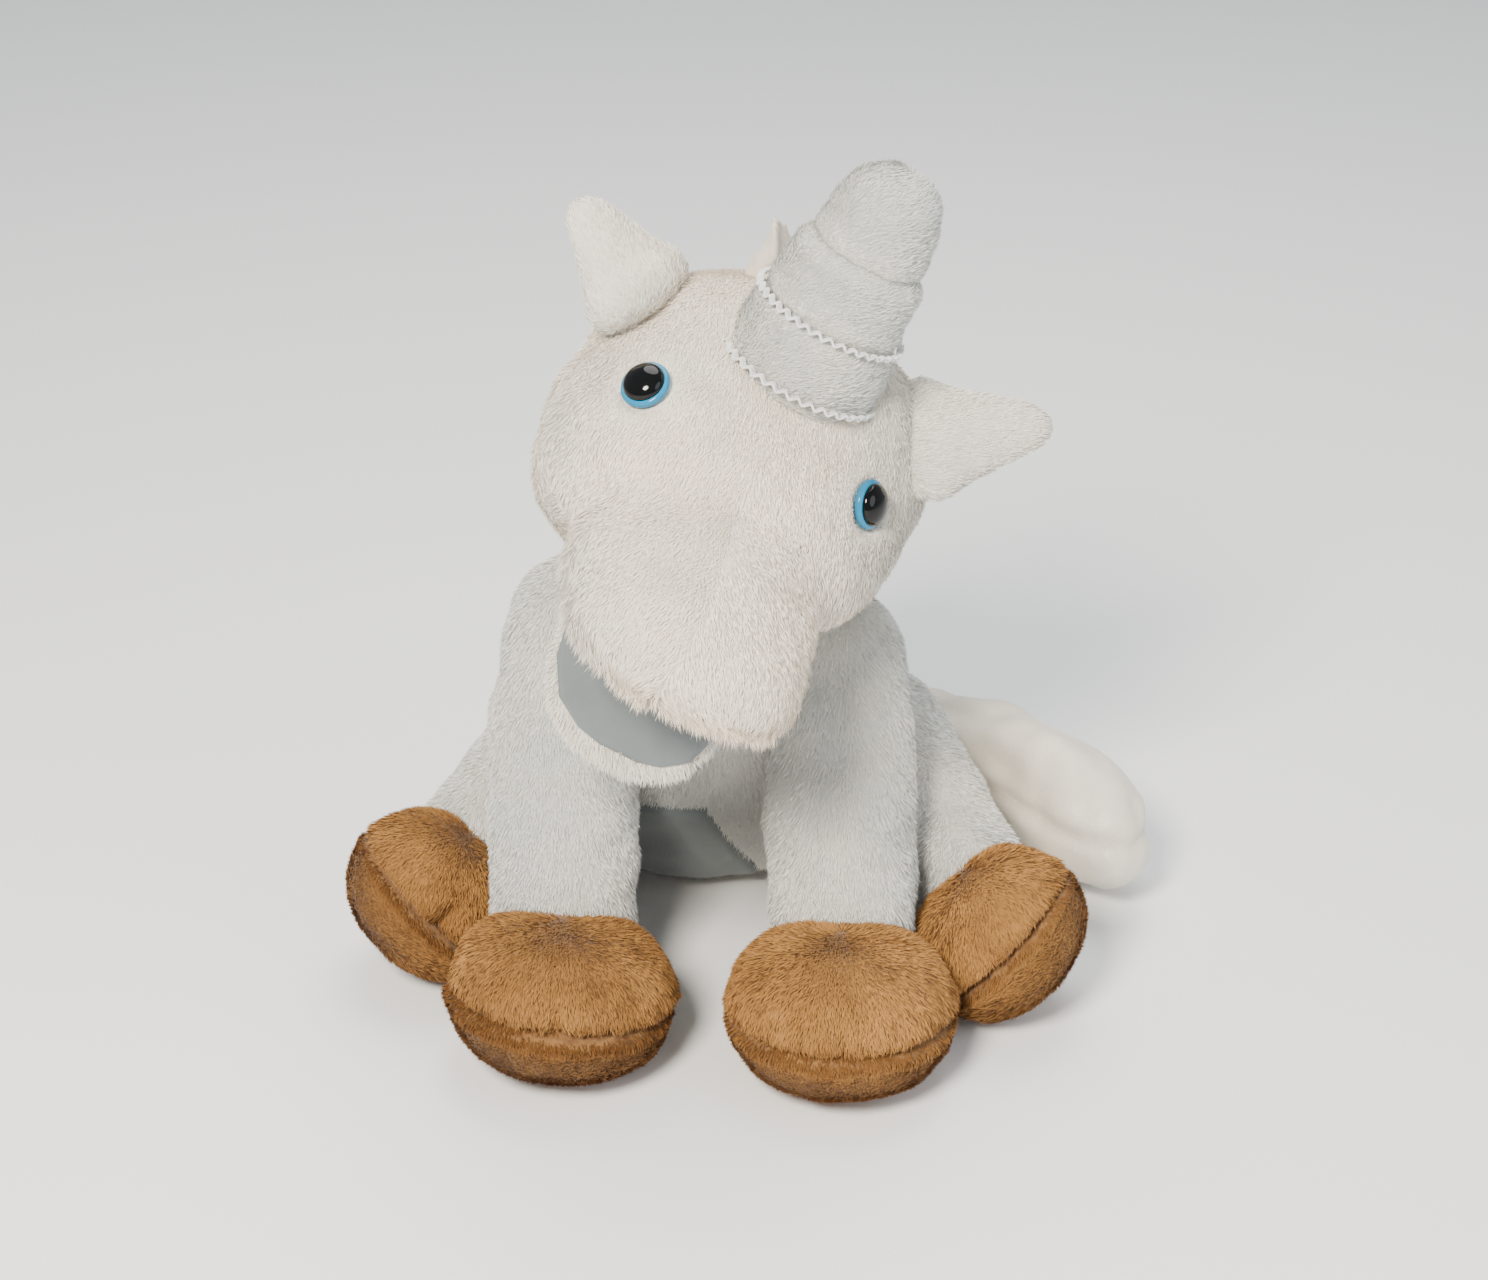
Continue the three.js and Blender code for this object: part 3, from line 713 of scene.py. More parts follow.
def satin_material(base):
    """Smooth brushed satin with a soft gloss and a very short nap."""
    found = bpy.data.materials.get("brushed_satin")
    if found:
        return found
    material, tree, shader, at = bare_material("brushed_satin")
    patches = mottled(tree, at, 32.0, base, (0.93 * base[0], 0.95 * base[1], 1.0 * base[2]))
    fine = noise(tree, at, 900.0, 3.0)
    speck = grey(tree, mapped(tree, fine, 0.3, 0.7, 0.93))
    shown = mixed(tree, 1.0, patches["Color"], speck, "MULTIPLY")
    tree.links.new(shown, shader.inputs["Base Color"])
    folds = noise(tree, at, 60.0, 3.0)
    height = maths(tree, "ADD", maths(tree, "MULTIPLY", folds, 2.2), maths(tree, "MULTIPLY", fine, 0.25))
    bumped(tree, shader, height, 1 * MM, 0.5)
    tree.links.new(mapped(tree, patches["Mask"], 0.0, 1.0, 0.42, 0.55), shader.inputs["Roughness"])
    finish_of(shader, Sheen_Weight=0.3, Anisotropic=0.3)
    return material


def plastic_material(name, base, dark, streaks):
    """Glossy moulded plastic, on the piece's own map: angle across, radius along."""
    material, tree, shader, at = bare_material(name)
    chart = wire(tree, "ShaderNodeUVMap", uv_map="Cloth").outputs[0]
    stretched = wire(tree, "ShaderNodeMapping", {0: chart, 3: (streaks, 2.0, 1.0)}).outputs[0]
    lines = noise(tree, stretched, 1.0, 3.0)
    radius = wire(tree, "ShaderNodeSeparateXYZ", {0: chart}).outputs[1]
    rim = mapped(tree, radius, 0.7, 1.0)
    share = maths(tree, "ADD", maths(tree, "MULTIPLY", rim, 0.5), maths(tree, "MULTIPLY", lines, 0.35))
    tree.links.new(mixed(tree, share, rgba(base), rgba(dark)), shader.inputs["Base Color"])
    scuffs = noise(tree, at, 350.0, 4.0)
    tree.links.new(mapped(tree, scuffs, 0.4, 0.8, 0.06, 0.16), shader.inputs["Roughness"])
    finish_of(shader, Specular_IOR_Level=0.3)
    return material


def fur():
    pile = bpy.context.scene.unicorn_pile
    return pile_material("white_pile", pile.white_shaded, pile.white_lit, 0.86, 0.08, 0.12)


def hoof_pile():
    pile = bpy.context.scene.unicorn_pile
    return pile_material("hoof_pile", pile.tan_dark, pile.tan_light, 0.72, 0.02, 0.05)


def white_ground():
    pile = bpy.context.scene.unicorn_pile
    # Halfway between the painted lit white and the painted shaded white.
    middle = [(lit_white + shaded_white) / 2 for lit_white, shaded_white in zip(pile.white_lit, pile.white_shaded)]
    return ground_material("white_ground", middle, [0.85 * c for c in middle])


def tan_ground():
    pile = bpy.context.scene.unicorn_pile
    return ground_material("tan_ground", [0.6 * c for c in pile.tan_light], pile.tan_dark)


def lining_cloth():
    cloth = bpy.context.scene.unicorn_cloth
    return cloth_material("lining_cloth", cloth.lining, cloth.thread, 0.72, 0.35)


def satin_cloth():
    return satin_material(bpy.context.scene.unicorn_cloth.satin)


def dressed(piece, material):
    piece.data.materials.clear()
    piece.data.materials.append(material)
    return piece


def moves_with(piece, body):
    """Rides on one body; given two bodies as (body, body, start, end), it is only fixed where it stands."""
    if isinstance(body, str):
        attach(piece, body)
    else:
        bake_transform(piece)
    return piece


def white_tone(points, lit_share, seed=3):
    """Patches that differ at random round a mean lit share, the painted light: shares of the way from the
    shaded white to the lit white.
    """
    wide, small = waves(points, 90 * MM, seed), waves(points, 30 * MM, seed + 1)
    return np.clip(lit_share + 0.13 * wide + 0.08 * small, 0.05, 0.95)


# Fur this deep inside a neighbour is never seen.
BURIED = 9 * MM
# Covers that fur may not grow deep inside, and the coats that are still to grow.
COVERS = []
COATS = []


def noted(piece, body, slot, *nodes, fill=None):
    """Makes a piece move with its body and hides the nodes that it stands for. The slot and fill are not
    used.
    """
    moves_with(piece, body)
    if nodes:
        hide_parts(*nodes)


def furred(cover, nodes, body, comb, keep=None, pile=1.0, lit_share=0.3, parts=None, **sizes):
    """Gives a cover its ground cloth and body, hides its nodes, and notes the fur that it will grow."""
    points = points_of(cover)
    points[:, 2] = np.maximum(points[:, 2], 0.4 * MM)
    place(cover, points)
    dressed(cover, white_ground())
    noted(cover, body, "fur", *nodes, fill=0.7)
    keep = np.ones(len(points)) if keep is None else keep(points)
    parts = parts or {"fur_" + cover.name.removesuffix("_cover"): lambda p: np.ones(len(p))}
    look = {
        "pile": pile(points) if callable(pile) else pile,
        "comb": comb(points) if callable(comb) else comb,
        "tone": white_tone(points, lit_share(points) if callable(lit_share) else lit_share),
    }
    COVERS.append(cover)
    parts = {title: keep * share(points) for title, share in parts.items()}
    COATS.append((cover, body, parts, look, sizes))
    return cover


def shape_tree(piece):
    mesh = piece.data
    return BVHTree.FromPolygons([v.co for v in mesh.vertices], [tuple(f.vertices) for f in mesh.polygons])


def in_the_open(cover, trees, depth):
    """One where a cover's points lie outside every other cover, or less than depth inside it."""
    points = points_of(cover)
    free = np.ones(len(points))
    for name, (tree, low, high) in trees.items():
        if name == cover.name:
            continue
        inside = ((points > low + depth) & (points < high - depth)).all(1)
        for i in np.flatnonzero(inside):
            spot, normal, _, far = tree.find_nearest(Vector(points[i]))
            if far > depth and (Vector(points[i]) - spot).dot(normal) < 0:
                free[i] = 0
    return free


class UNICORN_OT_fur(bpy.types.Operator):
    """Grows the white fur, except deep inside a neighbour"""

    bl_idname = "unicorn.fur"
    bl_label = "White fur"

    def execute(self, context):
        settings = context.scene.unicorn_pile
        trees = {}
        for cover in COVERS:
            points = points_of(cover)
            trees[cover.name] = (shape_tree(cover), points.min(0), points.max(0))
        for cover, body, parts, look, sizes in COATS:
            free = in_the_open(cover, trees, BURIED)
            for i, (title, keep) in enumerate(parts.items()):
                given = {
                    "Density": settings.fur_density,
                    "Length": settings.fur_length,
                    "Width": settings.fur_width,
                    "Rise": 1.0,
                    "Scatter": 0.26,
                    "Clump": 0.13,
                    "Clump size": 12 * MM,
                    "Seed": settings.seed + 11 * i + len(title),
                    **sizes,
                }
                coat = with_pile(cover, title, fur(), keep=keep * free, **look, **given)
                noted(coat, body, "fur")
        return {"FINISHED"}


# ---- body ---------------------------------------------------------------------------------
def bare_belly(points):
    """One where the woven panel shows between the legs, and nought where fur covers it."""
    x, z = points[:, 0], points[:, 2]
    slope = smooth_step(16 * MM - 0.4 * (z - 30 * MM) - x, -2 * MM, 2 * MM)
    low = smooth_step(72 * MM - z, -2 * MM, 2 * MM) * smooth_step(z, 5 * MM, 9 * MM)
    return slope * low * smooth_step(x, -41 * MM, -37 * MM) * (points[:, 1] < -0.03)


class UNICORN_OT_body(bpy.types.Operator):
    """Makes the stuffed body and neck, and the pellet pouch inside"""

    bl_idname = "unicorn.body"
    bl_label = "Body and neck"

    def execute(self, context):
        body = stuffed("body", [node_points("body_plush")], size=5 * MM, rounds=10, swell=0.8 * MM)
        puffed(body, cap=4 * MM)
        wrinkled(body, 1.3 * MM, 40 * MM, 5, along=(0, 0, 1))

        def off_panel(points):
            return 1 - bare_belly(points)

        def front(points):
            return (points[:, 1] < -0.035).astype(float)

        def back(points):
            return 0.6 * (1 - front(points))

        furred(
            subdivided(body),
            ["body_plush"],
            "torso",
            lambda p: DOWN + 0.25 * unit(p * (1, 1, 0)),
            keep=off_panel,
            pile=lambda p: np.where(p[:, 2] < 0.012, 0.35, 1.0),
            parts={"fur_body_front": front, "fur_body_back": back},
        )

        neck = stuffed("neck", [node_points("neck_plush")], size=4 * MM, rounds=8, swell=1.5 * MM)
        wrinkled(neck, 1.2 * MM, 34 * MM, 8)
        bend = ("torso", "neck", (0, -0.03, NECK_PIVOT.z - 12 * MM), (0, -0.03, NECK_PIVOT.z + 30 * MM))
        furred(subdivided(neck), ["neck_plush"], bend, DOWN, Density=1.5e6)

        pouch = stuffed("pellet_pouch", [node_points("pellet_bag")], size=3 * MM, rounds=4)
        subdivided(wrinkled(pouch, 0.5 * MM, 6 * MM, 21))
        dressed(pouch, ground_material("pouch_cloth", (0.66, 0.63, 0.56), (0.5, 0.47, 0.41)))
        noted(pouch, "torso", "pellet_cloth", "pellet_bag", fill=0.8)
        return {"FINISHED"}


def over(cover, starts, ways, lift):
    """Where rays meet a cover, raised off it by lift, and the cover's normals there."""
    tree = shape_tree(cover)
    places, normals = [], []
    for start, way in zip(starts, ways):
        spot, normal, _, _ = tree.ray_cast(Vector(start), Vector(way))
        if spot is None:
            spot, normal, _, _ = tree.find_nearest(Vector(start))
        places.append(np.array(spot + lift * normal))
        normals.append(np.array(normal))
    return np.array(places), np.array(normals)


def patch(name, rows, columns, places, chart, thick):
    """A cloth patch from a grid of places, with its own map and a real thickness."""
    faces = [
        (r * columns + c, r * columns + c + 1, (r + 1) * columns + c + 1, (r + 1) * columns + c)
        for r in range(rows - 1)
        for c in range(columns - 1)
    ]
    mesh = bpy.data.meshes.new(name)
    mesh.from_pydata([tuple(p) for p in places], [], faces)
    piece = object_of(name, mesh)
    flat_map(piece, chart)
    wall = piece.modifiers.new("Cloth", "SOLIDIFY")
    wall.thickness = thick
    wall.offset = 0
    finished(piece)
    piece.data.shade_smooth()
    return dressed(piece, lining_cloth())


def facing_out(piece, normals):
    """Turns a patch over where its faces look against the cover under it."""
    own = normals_of(piece)[: len(normals)]
    if (own * normals).sum() < 0:
        piece.data.flip_normals()


def sewn_sheet(piece, body, node, flat, area):
    noted(piece, body, "lining", node)


class UNICORN_OT_belly(bpy.types.Operator):
    """Makes the smooth woven panel on the belly, sewn onto the body"""

    bl_idname = "unicorn.belly"
    bl_label = "Belly panel"

    def execute(self, context):
        low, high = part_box("belly_panel")
        rows, columns = 40, 30
        wide, tall = high[0] - low[0], high[2] - low[2]
        s, t = np.meshgrid(np.linspace(-1, 1, columns), np.linspace(0, 1, rows))
        s, t = s.ravel(), t.ravel()
        pinch = 1 - 0.35 * np.abs(2 * t - 1) ** 3
        x = s * pinch * wide / 2
        z = low[2] + 3 * MM + t * (tall - 3 * MM)
        starts = np.stack([x, np.full_like(x, low[1] - 0.05), z], 1)
        places, normals = over(bpy.data.objects["body"], starts, np.tile((0, 1, 0), (len(x), 1)), 2.2 * MM)
        places -= (4.4 * MM * (1 - bare_belly(places)))[:, None] * normals
        grid = places.reshape(rows, columns, 3)
        steps = np.linalg.norm(np.diff(grid[:, columns // 2], axis=0), axis=1)
        down = np.concatenate([[0], np.cumsum(steps)])
        chart = np.stack([x, np.repeat(down, columns)], 1)
        places += (0.5 * MM * waves(places, 0.03, 31))[:, None] * normals
        panel = patch("belly_cloth", rows, columns, places, chart, 0.9 * MM)
        facing_out(panel, normals)
        area = float(down[-1] * wide * 0.88)
        sewn_sheet(panel, "torso", "belly_panel", (wide, float(down[-1])), area)
        return {"FINISHED"}


# ---- legs and hooves ----------------------------------------------------------------------
def seam_of(upper, sole):
    """The middle and the upward direction of the seam between a hoof's two pads."""
    a, b = node_points(upper), node_points(sole)
    middle = (a.mean(0) + b.mean(0)) / 2
    up = unit(a.mean(0) - b.mean(0))
    near_a, near_b = a[(a - middle) @ up < 6 * MM], b[(b - middle) @ up > -6 * MM]
    edge = (((near_a - middle) @ up).min() + ((near_b - middle) @ up).max()) / 2
    return middle + edge * up, up


# Depth and half-width of the hooves' crease, and of the stuffing that swells beside it.
CREASE = (2.4 * MM, 1.8 * MM)
FILLING = (3.4 * MM, 9 * MM)


def hoof(name, nodes, body, seed, cleft, lit_share):
    """The two pads of a hoof, drawn in along the seam where they meet."""
    settings = bpy.context.scene.unicorn_pile
    middle, up = seam_of(*nodes)
    for node, side in zip(nodes, (1, -1)):
        title = name + ("_upper" if side > 0 else "_sole")
        pad = stuffed(title, [node_points(node)], size=3.0 * MM, rounds=1, swell=1.2 * MM)
        puffed(pad, cap=4 * MM)
        wrinkled(pad, 0.5 * MM, 26 * MM, seed + side)
        subdivided(pad)
        points = points_of(pad)
        above = (points - middle) @ up
        out = (points - middle) - above[:, None] * up
        # The seam draws a narrow crease, and the stuffing fills the pads out on both sides of it.
        drawn = CREASE[0] * peak(above, 0, CREASE[1]) - FILLING[0] * peak(above, 0, FILLING[1])
        across = unit(np.cross(up, (0, 1, 0)))
        toe = (out @ across / (3.2 * MM)) ** 2 + ((above - 5 * MM) / (11 * MM)) ** 2
        drawn += cleft * np.exp(-toe) * (out[:, 1] < 0) * (side > 0)
        points -= drawn[:, None] * unit(out)
        side_way = np.abs(unit(out) @ across)
        points += (3.0 * MM * side_way**10 * peak(above, 0, 5 * MM))[:, None] * unit(out)
        points[:, 2] = np.maximum(points[:, 2], 0.5 * MM)
        place(pad, points)
        facing = normals_of(pad) @ up * side
        above = (points - middle) @ up
        sunk = np.clip(1 - np.abs(above) / (4 * MM), 0, 1)
        comb = np.minimum(np.linalg.norm(out, axis=1, keepdims=True) / (24 * MM), 1) * unit(out)
        comb = comb - side * 0.3 * up + 0.4 * DOWN + np.array((0, -0.35, 0))
        # Painted shade: the sole and the crease are darker. The waves below are the pile's own uneven tone.
        tone = lit_share - 0.28 * (side < 0) - 0.4 * peak(above, 0, 5 * MM)
        tone += 0.16 * waves(points, 30 * MM, seed) + 0.08 * waves(points, 11 * MM, seed + 2)
        coat = with_pile(
            pad,
            f"pile_{title}",
            hoof_pile(),
            comb,
            keep=np.where((facing < -0.8) & (sunk > 0) | (points[:, 2] < 1.2 * MM), 0.0, 1.0),
            pile=np.where(points[:, 2] < 4 * MM, 0.35, 1 - 0.35 * sunk),
            tone=np.clip(tone, 0.03, 0.97),
            Density=settings.hoof_density,
            Length=settings.hoof_length,
            Width=0.5 * MM,
            Rise=0.9,
            Scatter=0.22,
            Clump=0.2,
            Clump_size=13 * MM,
            Seed=settings.seed + seed,
        )
        dressed(pad, tan_ground())
        COVERS.append(pad)
        noted(pad, body, "hoof_plush", node, fill=0.8)
        noted(coat, body, "hoof_plush")


class UNICORN_OT_legs(bpy.types.Operator):
    """Makes the four stuffed legs"""

    bl_idname = "unicorn.legs"
    bl_label = "Legs"

    def execute(self, context):
        for side in SIDES:
            for kind, seed in (("foreleg", 40), ("hindleg", 50)):
                name = f"{kind}_{side}"
                leg = stuffed(f"{name}_cover", [node_points(name)], size=4 * MM, rounds=5, swell=1.0 * MM)
                puffed(leg, cap=3 * MM)
                points = points_of(leg)
                if kind == "foreleg":
                    slope = {"left": 0.18, "right": 0.2}[side]
                    inward = slope * np.maximum(points[:, 2] - 0.12, 0)
                else:
                    tuck = {"left": 5 * MM, "right": 15 * MM}[side] * smooth_step(points[:, 2], 0.035, 0.08)
                    inward = tuck * smooth_step(SIDES[side] * points[:, 0], 0.05, 0.1)
                points[:, 0] -= SIDES[side] * inward
                place(leg, points)
                wrinkled(leg, 1.4 * MM, 27 * MM, seed + SIDES[side], along=(1, 0, 0))
                # Painted shade: the legs stand in the head's shadow, so their lit share is low.
                furred(subdivided(leg), [name], name, DOWN + np.array((0, -0.3, 0)), lit_share=0.22)
        return {"FINISHED"}


class UNICORN_OT_hooves(bpy.types.Operator):
    """Makes the eight puffed pads of the tan hooves"""

    bl_idname = "unicorn.hooves"
    bl_label = "Hooves"

    def execute(self, context):
        seed = 60
        for side in SIDES:
            for kind, leg in (("fore", "foreleg"), ("hind", "hindleg")):
                nodes = (f"{kind}_hoof_upper_{side}", f"{kind}_hoof_sole_{side}")
                cleft = {"left": 1.6, "right": 4.5}[side] * MM
                lit_share = {"left": 0.8, "right": 0.62}[side]
                hoof(f"{kind}_hoof_{side}", nodes, f"{leg}_{side}", seed, cleft, lit_share)
                seed += 5
        return {"FINISHED"}


# ---- head ---------------------------------------------------------------------------------
def eye_frame(side):
    """Where an eye sits: its own +Z looks out of the head."""
    look = Vector((SIDES[side] * 0.66, -0.22, 0.72)).normalized()
    rise = (-38 + 57 * math.sqrt(1 - (50 / 76) ** 2)) * MM
    seat = Vector((SIDES[side] * 50 * MM, 0, rise)) - look * MM
    lean = Vector((0, 0, 1)).rotation_difference(look)
    return HEAD @ Matrix.Translation(seat) @ lean.to_matrix().to_4x4()


def jaw_frame():
    return HEAD @ Matrix.Translation(HINGE) @ Matrix.Rotation(JAW_OPEN, 4, "X") @ Matrix.Translation(-HINGE)


def lip_rise(own):
    """How far the front of the upper lip is lifted, for points in the head's own frame."""
    return 7 * MM * smooth_step(-own[:, 1], 0.07, 0.104) * smooth_step(-own[:, 2], 0.002, 0.03)


class UNICORN_OT_head(bpy.types.Operator):
    """Makes the head and muzzle cover with its long fringe round the mouth"""

    bl_idname = "unicorn.head"
    bl_label = "Head"

    def execute(self, context):
        fringe = context.scene.unicorn_pile.fringe
        skull = node_points("head_plush")
        own = in_frame(skull, HEAD)
        upper = skull[own[:, 2] > MOUTH_ROOF - MM]
        back = skull[own[:, 1] > HINGE.y - MM]
        muzzle = node_points("muzzle_plush")
        own = in_frame(muzzle, HEAD)
        muzzle = muzzle + np.where(own[:, 1:2] > -42 * MM, 8 * MM, 0) * turned((0, 1, 0), HEAD)
        head = stuffed("head", [upper, back, muzzle], size=4 * MM, rounds=9, swell=1.2 * MM)
        points = points_of(head)
        # The back of the head is round where it meets the neck.
        off = np.hypot(points[:, 0] - TURN_AT.x, points[:, 2] - TURN_AT.z)
        full = np.clip(1 - (off / 0.075) ** 2, 0, 1)
        points[:, 1] += 20 * MM * smooth_step(points[:, 1], -0.064, -0.05) * full
        place(head, points)
        rounded(head, 3)
        points = points_of(head)
        own = in_frame(points, HEAD)
        crown = smooth_step(own[:, 2], -34 * MM, -15 * MM)
        dip, bridge = peak(own[:, 1], MUZZLE_START, 7 * MM), peak(own[:, 1], -56 * MM, 13 * MM)
        brow = (2.0 * bridge - 3.4 * dip) * crown
        lip = 1.2 * peak(own[:, 1], -72 * MM, 22 * MM)
        place(head, points + ((brow + lip) * MM)[:, None] * normals_of(head))
        points = points_of(head)
        place(head, points + lip_rise(in_frame(points, HEAD))[:, None] * turned((0, 0, 1), HEAD))
        wrinkled(head, 1.4 * MM, 36 * MM, 12)
        subdivided(head)
        points = points_of(head)
        for side in SIDES:
            off, rise = off_axis(points, eye_frame(side))
            deep = (rise + 1.6 * MM) * (1 - smooth_step(off, 0.0095, 0.013))
            sink = np.where((off < 13 * MM) & (rise > -12 * MM), deep, 0)
            points -= np.maximum(sink, 0)[:, None] * turned((0, 0, 1), eye_frame(side))
        place(head, points)

        def bald(points):
            own = in_frame(points, HEAD)
            keep = np.ones(len(points))
            roof = (own[:, 2] - lip_rise(own) < MOUTH_ROOF + 3 * MM) & (own[:, 1] < -30 * MM)
            across = np.abs(own[:, 0] + MUZZLE_DRIFT * (own[:, 1] + 26 * MM) / (84 * MM))
            keep[roof & (across < 34 * MM) & (own[:, 1] > -97 * MM)] = 0
            corner = (own[:, 2] < MOUTH_ROOF + 5 * MM) & (own[:, 1] < -18 * MM) & (own[:, 1] > -44 * MM)
            keep[corner & (across < 40 * MM)] = 0
            for side in SIDES:
                off, rise = off_axis(points, eye_frame(side))
                keep[(off < 10.2 * MM) & (rise > -20 * MM)] = 0
            off, rise = off_axis(points, horn_frame())
            keep[(off < 24 * MM) & (np.abs(rise) < 20 * MM)] = 0
            return keep

        def pile(points):
            own = in_frame(points, HEAD)
            rim = peak(own[:, 2], MOUTH_ROOF + 4 * MM, 9 * MM) * smooth_step(-own[:, 1], 0.03, 0.07)
            long = 1 + (fringe - 1) * rim
            for side in SIDES:
                off, _ = off_axis(points, eye_frame(side))
                long *= 0.5 + 0.5 * smooth_step(off, 0.011, 0.022)
            return long

        def comb(points):
            own = in_frame(points, HEAD)
            way = np.tile(turned((0, -1, 0), HEAD), (len(points), 1))
            rim = peak(own[:, 2:3], MOUTH_ROOF + 3 * MM, 11 * MM)
            aside = 0.35 * np.sign(own[:, 0:1]) * smooth_step(-own[:, 1:2], -0.02, 0.06)
            way += aside * turned((1, 0, 0), HEAD)
            return way + rim * (0.8 * DOWN + 0.5 * turned((0, -1, 0), HEAD))

        def front(points):
            return (in_frame(points, HEAD)[:, 1] < MUZZLE_START).astype(float)

        def face(points):
            own = in_frame(points, HEAD)
            low = (own[:, 1] + own[:, 2] < 20 * MM) & (own[:, 2] > -40 * MM)
            return ((own[:, 1] >= MUZZLE_START) & low).astype(float)

        def rest(points):
            return 0.75 * (1 - front(points) - face(points))

        # Painted shade on both sides of the head, deeper on its left.
        def lit_share(points):
            left, right = smooth_step(points[:, 0], 0.045, 0.095), smooth_step(-points[:, 0], 0.02, 0.06)
            return 0.9 - 0.45 * left - 0.3 * right

        furred(
            head,
            ["head_plush", "muzzle_plush"],
            "head",
            comb,
            keep=bald,
            pile=pile,
            lit_share=lit_share,
            parts={"fur_muzzle": front, "fur_face": face, "fur_head": rest},
        )
        return {"FINISHED"}


def tongue_patch(name, frame_matrix, height, crown, side):
    """A tongue-shaped lining in the mouth. side is the way that it faces, up or down."""
    rows, columns = 34, 26
    t = np.repeat(np.linspace(0, 1, rows), columns)
    s = np.tile(np.linspace(-1, 1, columns), rows)
    half = np.interp(t, *np.array(TONGUE).T) * TONGUE_WIDTH / 2
    x = s * half + t * MUZZLE_DRIFT
    y = TONGUE_START - t * TONGUE_LENGTH
    edge = np.clip(1 - np.abs(s) ** 3, 0, 1) * np.clip(1 - t**6, 0, 1)
    soft = 0.5 * MM * waves(np.stack([x, y, 0 * x], 1), 0.028, 33)
    z = height + side * (crown * edge - 0.6 * MM + soft * edge)
    if side < 0:
        z += lip_rise(np.stack([x, y, z], 1))
    places = out_of_frame(np.stack([x, y, z], 1), frame_matrix)
    piece = patch(name, rows, columns, places, np.stack([x, y], 1), 0.8 * MM)
    facing_out(piece, np.tile(side * turned((0, 0, 1), frame_matrix), (len(places), 1)))
    area = float(np.trapz(2 * half.reshape(rows, columns)[:, 0], dx=TONGUE_LENGTH / (rows - 1)))
    return piece, (TONGUE_WIDTH, TONGUE_LENGTH), area


class UNICORN_OT_mouth(bpy.types.Operator):
    """Makes the lower jaw and the woven linings of the open mouth"""

    bl_idname = "unicorn.mouth"
    bl_label = "Mouth"

    def execute(self, context):
        jaw = stuffed("jaw", [node_points("jaw_plush")], size=3 * MM, rounds=5, swell=1.0 * MM)
        wrinkled(jaw, 0.5 * MM, 20 * MM, 17)
        own = in_frame(points_of(jaw), jaw_frame())
        own[:, 2] = np.minimum(own[:, 2], JAW_TOP - 0.3 * MM)
        place(jaw, out_of_frame(own, jaw_frame()))

        def bald(points):
            own = in_frame(points, jaw_frame())
            t = np.clip((TONGUE_START - own[:, 1]) / TONGUE_LENGTH, 0, 1)
            half = np.interp(t, *np.array(TONGUE).T) * 35.5 * MM
            lined = (own[:, 2] > JAW_TOP - 3 * MM) & (np.abs(own[:, 0] - t * MUZZLE_DRIFT) < half)
            return np.where(lined & (own[:, 1] > -102 * MM), 0.0, 1.0)

        def pile(points):
            own = in_frame(points, jaw_frame())
            front = smooth_step(-own[:, 1], 0.06, 0.095)
            return 0.6 + 0.9 * front * smooth_step(own[:, 2], JAW_TOP - 9 * MM, JAW_TOP - 2 * MM)

        def comb(points):
            own = in_frame(points, jaw_frame())
            out = unit(own * (1, 1, 0) - np.array((0, -60 * MM, 0)))
            return ways_out(out, jaw_frame()) + 0.5 * DOWN

        furred(subdivided(jaw), ["jaw_plush"], "jaw", comb, keep=bald, pile=pile, lit_share=0.5, Rise=0.6)
        palate, flat, area = tongue_patch("palate_cloth", HEAD, MOUTH_ROOF - 1.6 * MM, 1.0 * MM, -1)
        sewn_sheet(palate, "head", "palate_lining", flat, area)
        lining, flat, area = tongue_patch("jaw_cloth", jaw_frame(), JAW_TOP + 1.4 * MM, 1.3 * MM, 1)
        sewn_sheet(lining, "jaw", "jaw_lining", flat, area)
        return {"FINISHED"}


def horn_frame():
    seat = Matrix.Translation(Vector((4, 34, 6)) * MM)
    upright, aside = Matrix.Rotation(-HEAD_DROP, 4, "X"), Matrix.Rotation(math.radians(-2), 4, "Y")
    return HEAD @ seat @ upright @ aside


def from_seam(rise):
    """How far a height on the horn is from the nearest seam between two segments."""
    return np.min([np.abs(rise - seam) for seam in HORN_SEAMS], axis=0)


class UNICORN_OT_horn(bpy.types.Operator):
    """Makes the three stacked, stuffed segments of the horn"""

    bl_idname = "unicorn.horn"
    bl_label = "Horn"

    def execute(self, context):
        up = turned((0, 0, 1), horn_frame())
        for i, title in enumerate(("base", "middle", "tip")):
            node = f"horn_{title}"
            segment = stuffed(f"{node}_cover", [node_points(node)], size=2.6 * MM, rounds=1, swell=1.0 * MM)
            own = in_frame(points_of(segment), horn_frame())
            swell = 3.6 * MM * (1 - smooth_step(from_seam(own[:, 2]), 0, 11 * MM))
            own[:, :2] += swell[:, None] * unit(own[:, :2])
            place(segment, out_of_frame(own, horn_frame()))
            puffed(segment, cap=2 * MM)
            wrinkled(segment, 0.5 * MM, 18 * MM, 70 + i)

            def pile(points):
                _, rise = off_axis(points, horn_frame())
                return 0.55 + 0.35 * smooth_step(from_seam(rise), 0.001, 0.011)

            def comb(points):
                own = in_frame(points, horn_frame())
                round_it = np.stack([-own[:, 1], own[:, 0], 0 * own[:, 0]], 1)
                return ways_out(unit(round_it), horn_frame()) * 0.5 + 0.8 * up

            furred(subdivided(segment), [node], "horn", comb, pile=pile, lit_share=0.12)
        return {"FINISHED"}


